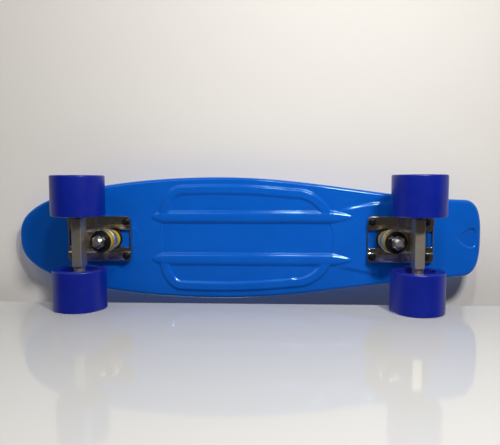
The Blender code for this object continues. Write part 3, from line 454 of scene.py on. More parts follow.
def tail_recess(x, y):
    """Depth of the recess in the tail, with its point towards the trucks and a step at its far side."""
    share = (1 - np.cos(np.linspace(0, np.pi, 400))) / 2
    outline_x = RECESS_POINT_X + (RECESS_END_X - RECESS_POINT_X) * share
    outline = np.stack([outline_x, recess_half_width(outline_x)], 1)
    depth = np.zeros_like(x)
    near = (x < RECESS_POINT_X + RECESS_MARGIN) & (np.abs(y) < RECESS_HALF + RECESS_MARGIN)
    level = np.abs(y[near])
    reach = nearest_distance(np.stack([x[near], level], 1), outline)
    inside = (level < recess_half_width(x[near])) & (x[near] > RECESS_END_X)
    signed = np.where(inside, reach, -reach)
    bulge = 0.0016 * (1 - (level / RECESS_HALF) ** 2)
    step = smooth_step(-0.0004, 0.0004, x[near] - RECESS_STEP_X + bulge)
    depth[near] = (RECESS_DEPTH + RECESS_STEP * step) * smooth_step(-0.0005, 0.0007, signed)
    return depth


FINE_STATION = 0.00035
CLOSEST_STATIONS = 0.00006


def deck_stations():
    """Places along the deck at which its mesh has a row: closer at its ends and at fine relief."""
    tip = DECK_LENGTH / 2 - 0.00002
    corner = 0.024
    nose = tip - corner * (1 - np.linspace(0, 1, 40)) ** 2.6
    spots = [nose, -nose, np.linspace(-tip + corner, tip - corner, 500)]
    margin = 0.001
    fine = (
        (RECESS_END_X - margin, RECESS_POINT_X + margin),
        (PANEL_NOSE_X - margin, PANEL_NOSE_X + margin),
        (PANEL_TAIL_X - 5 * margin, PANEL_TAIL_X + margin),
    )
    for low, high in fine:
        spots.append(np.arange(low, high, FINE_STATION))
    every = np.sort(np.concatenate(spots))
    keep = np.concatenate([[True], np.diff(every) > CLOSEST_STATIONS])
    keep[-1] = True
    return every[keep]


RIM_START = 0.93


def deck_mesh():
    """The deck's shell: a grid of rows from edge to edge below and above, joined round its rim."""
    x = deck_stations()
    inner = np.linspace(0, RIM_START, 60)
    rim = 1 - (1 - RIM_START) * (1 - np.linspace(0, 1, 12)[1:]) ** 2
    half = np.concatenate([inner, rim])
    t = np.concatenate([-half[::-1], half[1:]])
    gx, gt = np.meshgrid(x, t, indexing="ij")
    gy = gt * deck_half_width(gx)
    flat = np.stack([gx.ravel(), gy.ravel()], 1)
    edge = nearest_distance(flat, deck_edge()).reshape(gx.shape)
    edge[:, 0] = 0
    edge[:, -1] = 0
    near = np.clip(DECK_ROUND - edge, 0, DECK_ROUND)
    rounding = DECK_ROUND - np.sqrt(DECK_ROUND**2 - near**2)
    relief = underside_relief(gx, gy) * smooth_step(0.0015, 0.006, edge)
    rise = deck_rise(gx)
    low = DECK_Z + rise - relief + rounding
    high = DECK_TOP - GRIP_HEIGHT + rise - bolt_dips(gx, gy)
    high = high - rounding * (1 - GRIP_HEIGHT / DECK_ROUND)
    verts = np.concatenate([np.stack([gx, gy, z], 2).reshape(-1, 3) for z in (low, high)])
    nx, nt = gx.shape
    index = np.arange(nx * nt).reshape(nx, nt)
    top = index + nx * nt
    faces = []
    for grid, flip in ((index, True), (top, False)):
        a, b, c, d = grid[:-1, :-1], grid[1:, :-1], grid[1:, 1:], grid[:-1, 1:]
        quads = np.stack([a, d, c, b] if flip else [a, b, c, d], -1).reshape(-1, 4)
        faces.append(quads)
    for row_low, row_high in (
        (index[:, 0], top[:, 0]),
        (index[::-1, -1], top[::-1, -1]),
        (index[-1, :], top[-1, :]),
        (index[0, ::-1], top[0, ::-1]),
    ):
        faces.append(np.stack([row_low[:-1], row_low[1:], row_high[1:], row_high[:-1]], -1))
    return mesh_from("deck_shell", verts, np.concatenate(faces).tolist())


GRIP_HEIGHT = 0.0006
GRIP_PITCH = 0.0064
GRIP_STUD = 0.0052
GRIP_SLOPE = 0.0005
GRIP_ROUND = 0.0003
GRIP_ROUND_DROP = 0.00012
GRIP_ROOT = 0.0008
GRIP_MARGIN = 0.0075
GRIP_END_MARGIN = 0.007
GRIP_HOLE_CLEARANCE = 0.0102
DIP_DEPTH = 0.0016
DIP_RADII = (0.0046, 0.0058)
HOLE_X = (0.0202, -0.0433)
HOLE_Y = 0.0413 / 2


def bolt_places(end):
    """Bolt positions in the truck's frame, in the CAD's order."""
    return [(x, side * HOLE_Y) for x in HOLE_X for side in (1, -1)]


def bolt_points():
    points = []
    for end in ("front", "rear"):
        points += [TRUCK[end] @ Vector((x, y, 0)) for x, y in bolt_places(end)]
    return points


def bolt_dips(x, y):
    """Pockets in the top round the countersunk bolt heads."""
    depth = np.zeros_like(x)
    for point in bolt_points():
        reach = np.hypot(x - point.x, y - point.y)
        depth = np.maximum(depth, DIP_DEPTH * (1 - smooth_step(*DIP_RADII, reach)))
    return depth


def stud_fits(x, y, holes):
    """Whether a stud at (x, y) lies inside the deck's edge and clear of the bolt heads."""
    corner_x = abs(x) + GRIP_STUD / 2
    if corner_x > DECK_LENGTH / 2 - GRIP_END_MARGIN:
        return False
    room = float(deck_half_width(np.array(math.copysign(corner_x, x)))) - GRIP_MARGIN
    if abs(y) + GRIP_STUD / 2 > room:
        return False
    return all(math.hypot(x - p.x, y - p.y) >= GRIP_HOLE_CLEARANCE for p in holes)


def stud_corners(x, y):
    """Four rings of four corners, from the stud's root to its top."""
    foot = GRIP_STUD / 2
    crest = foot - GRIP_SLOPE
    rings = (
        (foot, -GRIP_ROOT),
        (foot, 0.0),
        (crest, GRIP_HEIGHT - GRIP_ROUND_DROP),
        (crest - GRIP_ROUND, GRIP_HEIGHT),
    )
    corners = []
    for size, level in rings:
        for sx, sy in ((-1, -1), (1, -1), (1, 1), (-1, 1)):
            px = x + sx * size
            base = DECK_TOP - GRIP_HEIGHT + float(deck_rise(np.array(px)))
            corners.append((px, y + sy * size, base + level))
    return corners


def deck_grip_mesh():
    """Small flat-topped studs in rows over the deck's top."""
    verts = []
    faces = []
    holes = bolt_points()
    rows = int(DECK_WIDTH / GRIP_PITCH)
    columns = int(DECK_LENGTH / GRIP_PITCH)
    for i in range(-columns // 2, columns // 2 + 1):
        for j in range(-rows // 2, rows // 2 + 1):
            x = i * GRIP_PITCH
            y = j * GRIP_PITCH
            if not stud_fits(x, y, holes):
                continue
            start = len(verts)
            verts += stud_corners(x, y)
            faces.append([start + 3, start + 2, start + 1, start])
            for low in range(start, start + 12, 4):
                for k in range(4):
                    n = (k + 1) % 4
                    faces.append([low + k, low + n, low + 4 + n, low + 4 + k])
            faces.append([start + 12, start + 13, start + 14, start + 15])
    return mesh_from("deck_grip", verts, faces)


shell = finish_mesh(deck_mesh(), MATERIALS["deck"], 180)
add_piece("deck_shell", shell, "board", replaces=["deck"])
studs = finish_mesh(deck_grip_mesh(), MATERIALS["deck"], 30)
add_piece("deck_grip_studs", studs, "board")


# ------------------------------------------------------------------ truck sizes, in the truck's own frame
# Its origin is on the ground under the axle and its +X points outboard.
GAP = 0.0003
AXLE_TURN = Matrix.Translation((0, 0, AXLE_Z)) @ Matrix.Rotation(math.radians(-90), 4, "X")
KINGPIN_ROOT = Vector((-0.0277, 0, DECK_Z))
KINGPIN_LEAN = math.radians(8.5)
KINGPIN_DIRECTION = Vector((math.sin(KINGPIN_LEAN), 0, -math.cos(KINGPIN_LEAN)))
KINGPIN_RADIUS = 0.00476
KINGPIN_LENGTH = 0.0497
KINGPIN_NUT_AT = 0.0414
INNER_CUP_AT = 0.0083
INNER_BUSHING_AT = 0.0099
INNER_BUSHING_HEIGHT = 0.0120
RING_AT = 0.0222
RING_THICKNESS = 0.0080
OUTER_BUSHING_AT = 0.0305
OUTER_BUSHING_HEIGHT = 0.0090
OUTER_CUP_AT = 0.0398
CUP_THICKNESS = 0.0013
CUP_DEPTH = 0.0026
CUP_WALL = 0.0009
BUSHING_RADIUS = 0.0117
BUSHING_END_RADIUS = 0.0110
RAIL_Z = 0.0712
MOUNTING_NUT_HEIGHT = 0.0048
BOLT_RADIUS = 0.0025
BOLT_HEAD_RADIUS = 0.0048
BOLT_THREAD = 0.0070
BOLT_TOP = DECK_TOP - 0.0003
BOLT_BOTTOM = RAIL_Z - GAP - MOUNTING_NUT_HEIGHT - 0.0012
AXLE_RADIUS = 0.00397
AXLE_HALF = 0.0747
AXLE_NUT_Y = 0.0664
AXLE_THREAD = 0.0075
STACK_HALF = 0.0120
BEARING_SHELF = 0.0050
SPEED_WASHER = 0.0009
WHEEL_RADIUS = 0.030
WHEEL_HALF = 0.023
FINE = 96  # points round a turned piece
LOOPS_PER_PITCH = 10
COARSE_PITCH = 0.00106  # of the axle's and the kingpin's thread
COARSE_DEPTH = 0.0005
FINE_PITCH = 0.0008  # of the mounting bolts' thread
FINE_DEPTH = 0.00035


def aimed(origin, direction):
    """A frame at origin whose local Z points along direction and whose local Y stays along Y."""
    z = direction.normalized()
    y = Vector((0, 1, 0))
    x = y.cross(z)
    return Matrix.Translation(origin) @ Matrix((x, y, z)).transposed().to_4x4()


def kingpin_point(distance):
    return KINGPIN_ROOT + KINGPIN_DIRECTION * distance


def on_kingpin(distance):
    return aimed(kingpin_point(distance), KINGPIN_DIRECTION)


# ------------------------------------------------------------------ shape makers
def arc(radius, height, size, start, end, steps=5):
    """Points (radius, height) of a round of that size about a centre, from start to end degrees."""
    angles = np.radians(np.linspace(start, end, steps + 1))
    return [(radius + size * math.cos(a), height + size * math.sin(a)) for a in angles]


def loop_at(radii, height, count=FINE):
    """One loop of points about Z; radii is a number or a function of the angle."""
    angles = 2 * np.pi * np.arange(count) / count
    reach = radii(angles) if callable(radii) else np.full(count, radii)
    return np.stack([reach * np.cos(angles), reach * np.sin(angles), np.full(count, height)], 1)


def lofted(name, loops, ring=False):
    """Join loops by faces. A ring joins the last to the first, and anything else is capped."""
    count = len(loops[0])
    verts = np.concatenate(loops)
    rows = len(loops)
    faces = []
    for i in range(rows if ring else rows - 1):
        low = i * count
        high = (i + 1) % rows * count
        for k in range(count):
            n = (k + 1) % count
            faces.append([low + k, low + n, high + n, high + k])
    if not ring:
        faces.append(list(range(count))[::-1])
        faces.append([(rows - 1) * count + k for k in range(count)])
    return mesh_from(name, verts, faces)


def turned(name, profile, count=FINE, ring=True):
    return lofted(name, [loop_at(radius, height, count) for radius, height in profile], ring)


NUT_CHAMFER_SHARE = 0.97
NUT_CHAMFER_ANGLE = math.radians(30)


def hexagon(flats, limit=None):
    """The outline of a hexagon, cut by a circle of radius limit."""

    def radii(angles):
        turn = (angles + np.pi / 6) % (np.pi / 3) - np.pi / 6
        reach = flats / 2 / np.cos(turn)
        return np.minimum(reach, limit) if limit else reach

    return radii


def nut_loops(flats, height, bore, top):
    """Loops of a hexagon nut with chamfered corners, up to the outline (radius, z) of its collar."""
    flat = flats / 2
    corner = flat / math.cos(math.pi / 6)
    start = flat * NUT_CHAMFER_SHARE
    drop = (corner - start) * math.tan(NUT_CHAMFER_ANGLE)
    cuts = [(start + (corner - start) * i / 4, drop * i / 4) for i in range(5)]
    loops = [loop_at(bore, 0.0006), loop_at(bore + 0.0005, 0)]
    loops += [loop_at(hexagon(flats, limit), z) for limit, z in cuts]
    loops += [loop_at(hexagon(flats, limit), height - z) for limit, z in reversed(cuts)]
    loops += [loop_at(radius, z) for radius, z in top]
    return loops


def thread_radii(radius, height, pitch, depth):
    """A screw thread's outline at a height: a triangular groove that climbs one pitch a turn."""

    def radii(angles):
        phase = (height / pitch - angles / (2 * np.pi)) % 1
        return radius - depth * np.abs(2 * phase - 1)

    return radii


def limited(radii, limit):
    return lambda angles: np.minimum(radii(angles), limit)


def thread_loops(radius, start, end, pitch, depth, bevel=0.0008):
    """Loops up a threaded stretch that ends in a chamfer."""
    steps = int(abs(end - start) / pitch * LOOPS_PER_PITCH)
    loops = []
    for i in range(steps + 1):
        height = start + (end - start) * i / steps
        left = abs(end - height)
        tip = radius - max(0.0, bevel - left)
        inner = thread_radii(radius, height, pitch, depth)
        loops.append(loop_at(limited(inner, tip), height))
    return loops


# ------------------------------------------------------------------ wheels, bearings and axle
def wheel_mesh():
    """A tyre with rounded lips, dished round its core, and a seat for each bearing."""
    lip = 0.0016
    seat = 0.0113
    face = WHEEL_HALF
    right = [(WHEEL_RADIUS, face - 0.0062), (WHEEL_RADIUS, face - 0.0040)]
    right += arc(WHEEL_RADIUS - lip, face - lip, lip, 0, 90, 8)
    right += [(0.0222, face)]
    right += arc(0.0210, face - 0.0007, 0.0007, 90, 190, 6)
    right += [(0.0189, STACK_HALF + 0.0012)]
    right += arc(0.0176, STACK_HALF + 0.0010, 0.0010, 0, -90, 5)
    right += [(seat + 0.0010, STACK_HALF), (seat, STACK_HALF - 0.0005)]
    right += [(seat, BEARING_SHELF), (0.0090, BEARING_SHELF)]
    left = [(radius, -height) for radius, height in reversed(right)]
    return turned("wheel", right + left, 144)


def bearing_mesh():
    """Outer race with its two shields, each pressed into a groove."""
    rim = 0.0110
    bore = 0.0063
    face = [(rim, 0.0009), (rim, 0.0064), (rim - 0.0006, 0.0070), (0.0097, 0.0070), (0.0096, 0.0066)]
    face += [(0.0091, 0.00655), (0.0089, 0.00675), (0.0074, 0.00675), (0.0071, 0.0065), (bore, 0.0065)]
    back = [(radius, 0.0073 - height) for radius, height in reversed(face)]
    return turned("bearing", face + back)


def race_stack_mesh():
    """Spacer, inner races and speed washers, clamped together on the axle."""
    bore = AXLE_RADIUS + GAP
    washer = STACK_HALF + GAP
    end = STACK_HALF + SPEED_WASHER
    right = [(0.0053, BEARING_SHELF), (0.0058, BEARING_SHELF), (0.0060, BEARING_SHELF + 0.0002)]
    right += [(0.0060, washer - 0.0002), (0.0060, washer), (0.0066, washer), (0.0068, washer + 0.0001)]
    right += [(0.0068, end - 0.0001), (0.0067, end), (bore + 0.0001, end), (bore, end - 0.0001)]
    left = [(radius, -height) for radius, height in reversed(right)]
    return turned("race_stack", right + left)


def axle_mesh():
    thread = dict(radius=AXLE_RADIUS, pitch=COARSE_PITCH, depth=COARSE_DEPTH)
    upper = thread_loops(start=AXLE_HALF - AXLE_THREAD, end=AXLE_HALF, **thread)
    lower = thread_loops(start=AXLE_THREAD - AXLE_HALF, end=-AXLE_HALF, **thread)
    return lofted("axle", lower[::-1] + upper)


def axle_nut_mesh():
    """A lock nut: hexagon, rounded collar and the soft ring inside it."""
    bore = AXLE_RADIUS + GAP
    collar = arc(0.0048, 0.0056, 0.0010, 0, 90, 4)
    top = [(0.0060, 0.0050)] + collar + [(0.0047, 0.0064), (bore, 0.0062)]
    return lofted("axle_nut", nut_loops(0.0127, 0.0050, bore, top), True)


# ------------------------------------------------------------------ kingpin pieces
NYLON_RADIUS = 0.0054
NYLON_LEVEL = 0.0050
KINGPIN_THREAD = 0.0060
KINGPIN_BEVEL = 0.0014


def kingpin_mesh():
    """The kingpin from its hexagon head, at the baseplate, to its threaded end."""
    flats = 0.0130
    head = [loop_at(hexagon(flats, flats * 0.55), 0.0021), loop_at(hexagon(flats), 0.0024)]
    head += [loop_at(hexagon(flats), 0.0051), loop_at(KINGPIN_RADIUS, 0.0051)]
    start = KINGPIN_LENGTH - KINGPIN_THREAD
    end = KINGPIN_LENGTH
    thread = thread_loops(KINGPIN_RADIUS, start, end, COARSE_PITCH, COARSE_DEPTH, KINGPIN_BEVEL)
    return lofted("kingpin", head + thread)


def kingpin_nut_mesh():
    bore = KINGPIN_RADIUS + GAP
    collar = arc(0.0055, 0.0056, 0.0005, 0, 90, 4)
    ring = [(NYLON_RADIUS, 0.0060), (NYLON_RADIUS - 0.0001, 0.0056), (bore, 0.0055)]
    top = [(0.0060, 0.0048)] + collar + ring
    return lofted("kingpin_nut", nut_loops(0.0143, 0.0048, bore, top), True)


def blacken_nylon(mesh):
    """The black ring inside the kingpin nut's collar."""
    mesh.materials.append(MATERIALS["cup"])
    for polygon in mesh.polygons:
        centre = polygon.center
        if centre.z > NYLON_LEVEL and math.hypot(centre.x, centre.y) < NYLON_RADIUS:
            polygon.material_index = 1


def cup_washer_mesh():
    """A pressed dish whose floor lies at z = 0 and whose rim rises along +Z round a bushing."""
    inside = BUSHING_RADIUS + GAP
    outside = inside + CUP_WALL
    bore = KINGPIN_RADIUS + GAP
    bend = 0.0012
    profile = [(bore, 0.0001), (bore + 0.0001, 0)]
    profile += arc(outside - bend, bend, bend, -90, 0, 6)
    profile += arc(inside + CUP_WALL / 2, CUP_DEPTH - CUP_WALL / 2, CUP_WALL / 2, 0, 180, 6)
    profile += arc(inside - 0.0005, CUP_THICKNESS + 0.0005, 0.0005, 0, -90, 3)
    profile += [(bore, CUP_THICKNESS)]
    return turned("cup_washer", profile)


def bushing_mesh(height):
    """A barrel of urethane with rounded rims."""
    bore = KINGPIN_RADIUS + GAP
    rim = 0.0010
    profile = [(bore, 0), (BUSHING_END_RADIUS - rim, 0)]
    profile += arc(BUSHING_END_RADIUS - rim, rim, rim, -90, 0, 5)[1:]
    bulge = BUSHING_RADIUS - BUSHING_END_RADIUS
    for share in np.linspace(0.1, 0.9, 13):
        level = rim + (height - 2 * rim) * share
        profile.append((BUSHING_END_RADIUS + bulge * math.sin(math.pi * share) ** 0.6, level))
    profile += arc(BUSHING_END_RADIUS - rim, height - rim, rim, 0, 90, 5)
    profile += [(bore, height)] + [(bore, height * share) for share in (0.75, 0.5, 0.25)]
    return turned("bushing", profile)


def pivot_cup_mesh():
    """A round-bottomed socket for the hanger's finger."""
    inside = 0.0043
    outside = 0.0056
    end = 0.0056
    mouth = end - 0.0070
    profile = [(0.00001, end)] + arc(outside - 0.0014, end - 0.0014, 0.0014, 90, 0, 5)
    profile += [(outside, mouth + 0.0003), (outside - 0.0003, mouth)]
    profile += [(inside + 0.0002, mouth), (inside, mouth + 0.0002)]
    profile += arc(0, 0, inside, 0, 89.9, 8)
    return turned("pivot_cup", profile, 64)


# ------------------------------------------------------------------ mounting bolts and nuts
def bolt_mesh():
    """Countersunk bolt, head up, with a cross recess and a threaded end."""
    wall = 0.0029

    def cross(angles):
        turn = (angles + np.pi / 4) % (np.pi / 2) - np.pi / 4
        arm = 0.00055 / np.maximum(np.abs(np.sin(turn)), 0.14)
        return np.minimum(np.maximum(arm, 0.0009), 0.0025)

    start = BOLT_BOTTOM + BOLT_THREAD
    bottom = thread_loops(BOLT_RADIUS, start, BOLT_BOTTOM, FINE_PITCH, FINE_DEPTH)[::-1]
    head = [loop_at(BOLT_RADIUS, BOLT_TOP - wall), loop_at(BOLT_HEAD_RADIUS, BOLT_TOP - 0.0005)]
    head += [loop_at(BOLT_HEAD_RADIUS, BOLT_TOP - 0.0002), loop_at(BOLT_HEAD_RADIUS - 0.0003, BOLT_TOP)]
    head += [loop_at(0.0027, BOLT_TOP), loop_at(cross, BOLT_TOP)]
    head += [loop_at(lambda a: cross(a) * 0.8, BOLT_TOP - 0.0007), loop_at(0.0006, BOLT_TOP - 0.0013)]
    return lofted("mounting_bolt", bottom + head)


def mounting_nut_mesh():
    """A lock nut, its collar towards the road."""
    bore = BOLT_RADIUS + GAP
    height = MOUNTING_NUT_HEIGHT
    collar = arc(0.0032, 0.0042, 0.0006, 0, 90, 4)
    top = [(0.0038, 0.0034)] + collar + [(0.0031, height - 0.0004), (bore, height - 0.0006)]
    return lofted("mounting_nut", nut_loops(0.0082, 0.0034, bore, top), True)


# ------------------------------------------------------------------ castings
def cast(node, end, grain, smooth, keep, cuts=()):
    """A casting's skin in the truck's frame: the CAD solid, cut open, with every edge rounded off."""
    mesh = frame["nodes"][node].data.copy()
    mesh.transform(TRUCK[end].inverted())
    bm = bmesh.new()
    bm.from_mesh(mesh)
    bmesh.ops.remove_doubles(bm, verts=bm.verts, dist=1e-6)
    bm.to_mesh(mesh)
    bm.free()
    blank = bpy.data.objects.new("blank", mesh)
    bpy.context.scene.collection.objects.link(blank)
    tools = []
    for cutter in cuts:
        tool = bpy.data.objects.new("tool", cutter)
        bpy.context.scene.collection.objects.link(tool)
        tools.append(tool)
        cut = blank.modifiers.new("cut", "BOOLEAN")
        cut.operation = "DIFFERENCE"
        cut.solver = "EXACT"
        cut.object = tool
    remesh = blank.modifiers.new("remesh", "REMESH")
    remesh.mode = "VOXEL"
    remesh.voxel_size = grain
    soften = blank.modifiers.new("soften", "SMOOTH")
    soften.factor = 0.5
    soften.iterations = smooth
    thin = blank.modifiers.new("thin", "DECIMATE")
    thin.ratio = keep
    bpy.context.view_layer.update()
    graph = bpy.context.evaluated_depsgraph_get()
    result = bpy.data.meshes.new_from_object(blank.evaluated_get(graph))
    for item in tools + [blank]:
        bpy.data.objects.remove(item)
    return result


def window_cutter():
    """Opens the plate round the inboard side of the kingpin's boss."""
    far_x = -0.0469
    near_x = -0.0340
    half = 0.0110
    boss_x = -0.0271
    boss_radius = 0.0095
    side = math.acos((boss_x - near_x) / boss_radius)
    outline = [(near_x, half), (far_x, half), (far_x, -half), (near_x, -half)]
    for angle in np.linspace(-side, side, 16):
        outline.append((boss_x - boss_radius * math.cos(angle), boss_radius * math.sin(angle)))
    loops = [np.array([(x, y, z) for x, y in outline]) for z in (RAIL_Z - 0.002, DECK_Z + 0.002)]
    mesh = lofted("window", loops)
    return finish_mesh(mesh, MATERIALS["baseplate"])


# ------------------------------------------------------------------ the two trucks
PLATE_GRAIN = 0.00030
HANGER_GRAIN = 0.00038
baseplate = cast("front_baseplate", "front", PLATE_GRAIN, 4, 0.34, [window_cutter()])
hanger = cast("front_hanger", "front", HANGER_GRAIN, 8, 0.30)
# Mesh, material, the record's slot, and the angle in degrees up to which it is shaded smooth.
SHAPES = {
    "wheel": (wheel_mesh(), "wheel", "wheel_urethane", 50),
    "bearing": (bearing_mesh(), "shield", "bearing_shield", 35),
    "race_stack": (race_stack_mesh(), "steel", "steel", 35),
    "axle": (axle_mesh(), "steel", "steel", 40),
    "axle_nut": (axle_nut_mesh(), "chrome", "steel", 32),
    "kingpin": (kingpin_mesh(), "steel", "steel", 40),
    "kingpin_nut": (kingpin_nut_mesh(), "chrome", "bright_nut", 32),
    "cup_washer": (cup_washer_mesh(), "black_steel", "black_fastener", 50),
    "pivot_cup": (pivot_cup_mesh(), "cup", "cup_plastic", 50),
    "bolt": (bolt_mesh(), "black_steel", "black_fastener", 35),
    "mounting_nut": (mounting_nut_mesh(), "black_steel", "black_fastener", 32),
    "inner_bushing": (bushing_mesh(INNER_BUSHING_HEIGHT), "bushing", "bushing_urethane", 60),
    "outer_bushing": (bushing_mesh(OUTER_BUSHING_HEIGHT), "bushing", "bushing_urethane", 60),
    "baseplate": (baseplate, "baseplate", "polished_casting", 180),
    "hanger": (hanger, "hanger", "polished_casting", 180),
}
for mesh, material, _, angle in SHAPES.values():
    finish_mesh(mesh, MATERIALS[material], angle)
blacken_nylon(SHAPES["kingpin_nut"][0])

PIVOT_LOCAL = TRUCK["front"].inverted() @ PIVOT["front"]
RING_MIDDLE = kingpin_point(RING_AT + RING_THICKNESS / 2)
PIVOT_DIRECTION = (PIVOT_LOCAL - RING_MIDDLE).normalized()


def add_part(node, shape, body, matrix):
    """A detailed piece in the place of a CAD node."""
    mesh, _, slot, _ = SHAPES[shape]
    return add_piece(f"{node}_detail", mesh.copy(), body, matrix, [node])


def add_bushing(end, node, shape, at):
    """A bushing on the kingpin, set in place with its transform baked into its mesh."""
    piece = add_part(f"{end}_{node}", shape, None, TRUCK[end] @ on_kingpin(at))
    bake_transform(piece)


def add_truck(end):
    """Every piece of one truck and its two wheels, each in the place of its CAD node."""
    truck = TRUCK[end]
    flip = Matrix.Rotation(math.pi, 4, "X")
    board = (
        ("baseplate", "baseplate", Matrix.Identity(4)),
        ("pivot_cup", "pivot_cup", aimed(PIVOT_LOCAL, PIVOT_DIRECTION)),
        ("kingpin", "kingpin", on_kingpin(0)),
        ("kingpin_nut", "kingpin_nut", on_kingpin(KINGPIN_NUT_AT)),
        ("board_side_cup_washer", "cup_washer", on_kingpin(INNER_CUP_AT)),
        ("road_side_cup_washer", "cup_washer", on_kingpin(OUTER_CUP_AT + CUP_THICKNESS) @ flip),
    )
    for name, shape, matrix in board:
        add_part(f"{end}_{name}", shape, "board", truck @ matrix)
    for number, (x, y) in enumerate(bolt_places(end), 1):
        hole = Matrix.Translation((x, y, 0))
        add_part(f"{end}_mounting_bolt_{number}", "bolt", "board", truck @ hole)
        seat = Matrix.Translation((x, y, RAIL_Z - GAP)) @ flip
        add_part(f"{end}_mounting_nut_{number}", "mounting_nut", "board", truck @ seat)

    add_bushing(end, "board_side_bushing", "inner_bushing", INNER_BUSHING_AT)
    add_bushing(end, "road_side_bushing", "outer_bushing", OUTER_BUSHING_AT)

    steering = f"{end}_steering"
    add_part(f"{end}_hanger", "hanger", steering, truck)
    add_part(f"{end}_axle", "axle", steering, truck @ AXLE_TURN)
    for label, side in SIDES.items():
        positive = (side > 0) == (end == "front")
        outward = truck @ AXLE_TURN @ Matrix.Rotation(0 if positive else math.pi, 4, "X")
        hub = outward @ Matrix.Translation((0, 0, WHEEL_Y))
        shelf = Matrix.Translation((0, 0, BEARING_SHELF))
        wheel_body = f"{end}_{label}_roller"
        add_part(f"{end}_{label}_wheel", "wheel", wheel_body, hub)
        add_part(f"{end}_{label}_outboard_bearing", "bearing", wheel_body, hub @ shelf)
        add_part(f"{end}_{label}_inboard_bearing", "bearing", wheel_body, hub @ flip @ shelf)
        add_part(f"{end}_{label}_race_stack", "race_stack", steering, hub)
        nut = outward @ Matrix.Translation((0, 0, AXLE_NUT_Y))
        add_part(f"{end}_{label}_axle_nut", "axle_nut", steering, nut)


for end in ("front", "rear"):
    add_truck(end)


# ------------------------------------------------------------------ stage, lights and camera
def stage_plane(name, corners, colour, roughness):
    """A one-sided pale plane: it shows from the side that its normal faces, and casts nothing."""
    mesh = mesh_from(name, corners, [[0, 1, 2, 3]])
    plane = bpy.data.objects.new(name, mesh)
    bpy.context.scene.collection.objects.link(plane)
    material = bpy.data.materials.new(name)
    material.use_nodes = True
    tree, add = node_tools(material)
    shader = tree.nodes["Principled BSDF"]
    shader.inputs["Base Color"].default_value = (*colour, 1)
    shader.inputs["Roughness"].default_value = roughness
    clear = add("ShaderNodeBsdfTransparent")
    side = add("ShaderNodeNewGeometry")
    mix = add("ShaderNodeMixShader")
    tree.links.new(side.outputs["Backfacing"], mix.inputs["Fac"])
    tree.links.new(shader.outputs["BSDF"], mix.inputs[1])
    tree.links.new(clear.outputs["BSDF"], mix.inputs[2])
    tree.links.new(mix.outputs["Shader"], tree.nodes["Material Output"].inputs["Surface"])
    mesh.materials.append(material)
    plane.visible_shadow = False
    return plane


# The stage follows the photograph: the board stands on its wheels' outer faces, on a glossy
# shelf in front of a wall. A second floor, at z = 0, is there for the views from above.
SIDE_Y = -WHEEL_Y - WHEEL_HALF
SHELF_EDGE_Z = 0.0595
SHELF_NEAR_Z = -0.34
WALL_Z = 0.128
# The board leans a little on the wall: the wall comes nearer at the nose and at the shelf.
WALL_LEAN_X = 0.06
WALL_LEAN_Y = 0.06
WALL_HALF = 0.42
WALL_TOP = 0.33
WALL_FOOT = -0.13
FLOOR_HALF = 8.0


def on_shelf(x, z):
    return (x, SIDE_Y, z)


def on_wall(x, y):
    return (x, y, WALL_Z - WALL_LEAN_X * x + WALL_LEAN_Y * y)


def on_floor(x, y):
    return (x, y, 0.0)


def corners_of(place, half, first, second):
    """Corners in turn of a rectangle between two levels. A negative half turns its face over."""
    turn = ((-half, first), (half, first), (half, second), (-half, second))
    return [place(x, level) for x, level in turn]


shelf = stage_plane(
    "shelf", corners_of(on_shelf, WALL_HALF, SHELF_EDGE_Z, SHELF_NEAR_Z), (0.60, 0.60, 0.59), 0.06
)
shelf.visible_glossy = False
wall = stage_plane(
    "wall", corners_of(on_wall, -WALL_HALF, WALL_FOOT, WALL_TOP), (0.76, 0.735, 0.70), 0.8
)
wall.visible_diffuse = False
under_floor = stage_plane(
    "under_floor", corners_of(on_floor, FLOOR_HALF, -FLOOR_HALF, FLOOR_HALF), (0.72, 0.71, 0.69), 0.6
)
under_floor.visible_diffuse = False
under_floor.visible_glossy = False


def area_light(name, place, target, size, power, colour=(1, 1, 1)):
    data = bpy.data.lights.new(name, "AREA")
    data.shape = "RECTANGLE"
    data.size, data.size_y = size
    data.energy = power
    data.color = colour
    light = bpy.data.objects.new(name, data)
    light.location = place
    light.rotation_euler = (Vector(target) - Vector(place)).to_track_quat("-Z", "Y").to_euler()
    bpy.context.scene.collection.objects.link(light)


area_light("window", (-0.30, 0.55, -0.55), (-0.02, 0, 0.08), (0.14, 0.07), 5.2, (1.0, 0.99, 0.97))
area_light("lamp", (-0.09, 0.75, -0.50), (0, 0, 0.08), (0.05, 0.05), 1.7, (1.0, 0.98, 0.95))
area_light("fill", (0.55, 0.9, -0.9), (0, 0, 0.05), (0.8, 0.6), 2.6, (0.98, 0.98, 0.97))
area_light("top", (0.3, 0.5, 1.5), (0, 0, 0.05), (1.4, 1.0), 6.0)
area_light("room", (0.5, -1.1, 1.0), (0, 0, 0.03), (1.2, 0.8), 11.0)


ROOM_DARK = (0.075, 0.068, 0.058, 1)
ROOM_PALE = (0.76, 0.74, 0.69, 1)
PALE_SIDE = (0, 0.22, 0.975)
ROOM_STRENGTH = 0.58


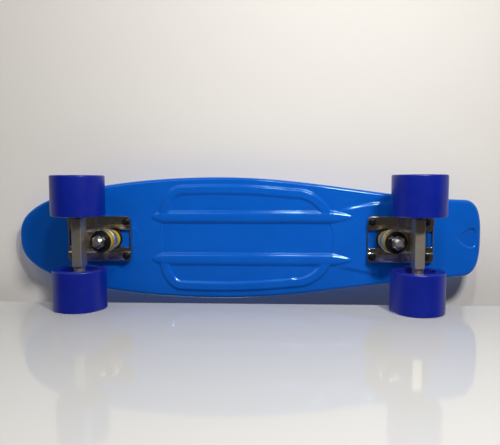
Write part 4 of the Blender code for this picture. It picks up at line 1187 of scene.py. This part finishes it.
def make_world():
    """Pale behind the board and above it, and a dim room in front of its underside."""
    world = bpy.data.worlds.new("studio")
    bpy.context.scene.world = world
    world.use_nodes = True
    tree = world.node_tree
    back = tree.nodes["Background"]
    place = tree.nodes.new("ShaderNodeTexCoord")
    lean = tree.nodes.new("ShaderNodeVectorMath")
    lean.operation = "DOT_PRODUCT"
    lean.inputs[1].default_value = PALE_SIDE
    ramp = tree.nodes.new("ShaderNodeValToRGB")
    shift = tree.nodes.new("ShaderNodeMapRange")
    shift.inputs["From Min"].default_value = -1.0
    shift.inputs["From Max"].default_value = 1.0
    tree.links.new(place.outputs["Generated"], lean.inputs[0])
    tree.links.new(lean.outputs["Value"], shift.inputs["Value"])
    tree.links.new(shift.outputs["Result"], ramp.inputs["Fac"])
    elements = ramp.color_ramp.elements
    elements[0].position = 0.30
    elements[0].color = ROOM_DARK
    elements[1].position = 0.56
    elements[1].color = ROOM_PALE
    tree.links.new(ramp.outputs["Color"], back.inputs["Color"])
    back.inputs["Strength"].default_value = ROOM_STRENGTH


make_world()


def make_camera():
    """A camera in front of the underside, level with the upper wheels and turned slightly down."""
    place = Vector((-0.0328, 0.0669, -0.5418))
    pitch = math.radians(4.36)
    yaw = math.radians(2.63)
    roll = math.radians(-0.07)
    turn = Matrix.Rotation(roll, 3, "Z") @ Matrix.Rotation(pitch, 3, "X") @ Matrix.Rotation(yaw, 3, "Y")
    rows = turn.transposed()

    def to_world(ray):
        d = rows @ Vector(ray)
        return Vector((-d.x, -d.y, d.z))

    right = to_world((1, 0, 0))
    up = -to_world((0, 1, 0))
    back = -to_world((0, 0, 1))
    data = bpy.data.cameras.new("camera")
    data.sensor_fit = "HORIZONTAL"
    data.sensor_width = 36.0
    data.lens = 36.93
    data.clip_start = 0.01
    data.clip_end = 20
    camera = bpy.data.objects.new("camera", data)
    axes = Matrix((right, up, back)).transposed()
    camera.matrix_world = Matrix.Translation(place) @ axes.to_4x4()
    bpy.context.scene.collection.objects.link(camera)
    bpy.context.scene.camera = camera


make_camera()
bpy.context.scene.view_settings.view_transform = "Standard"
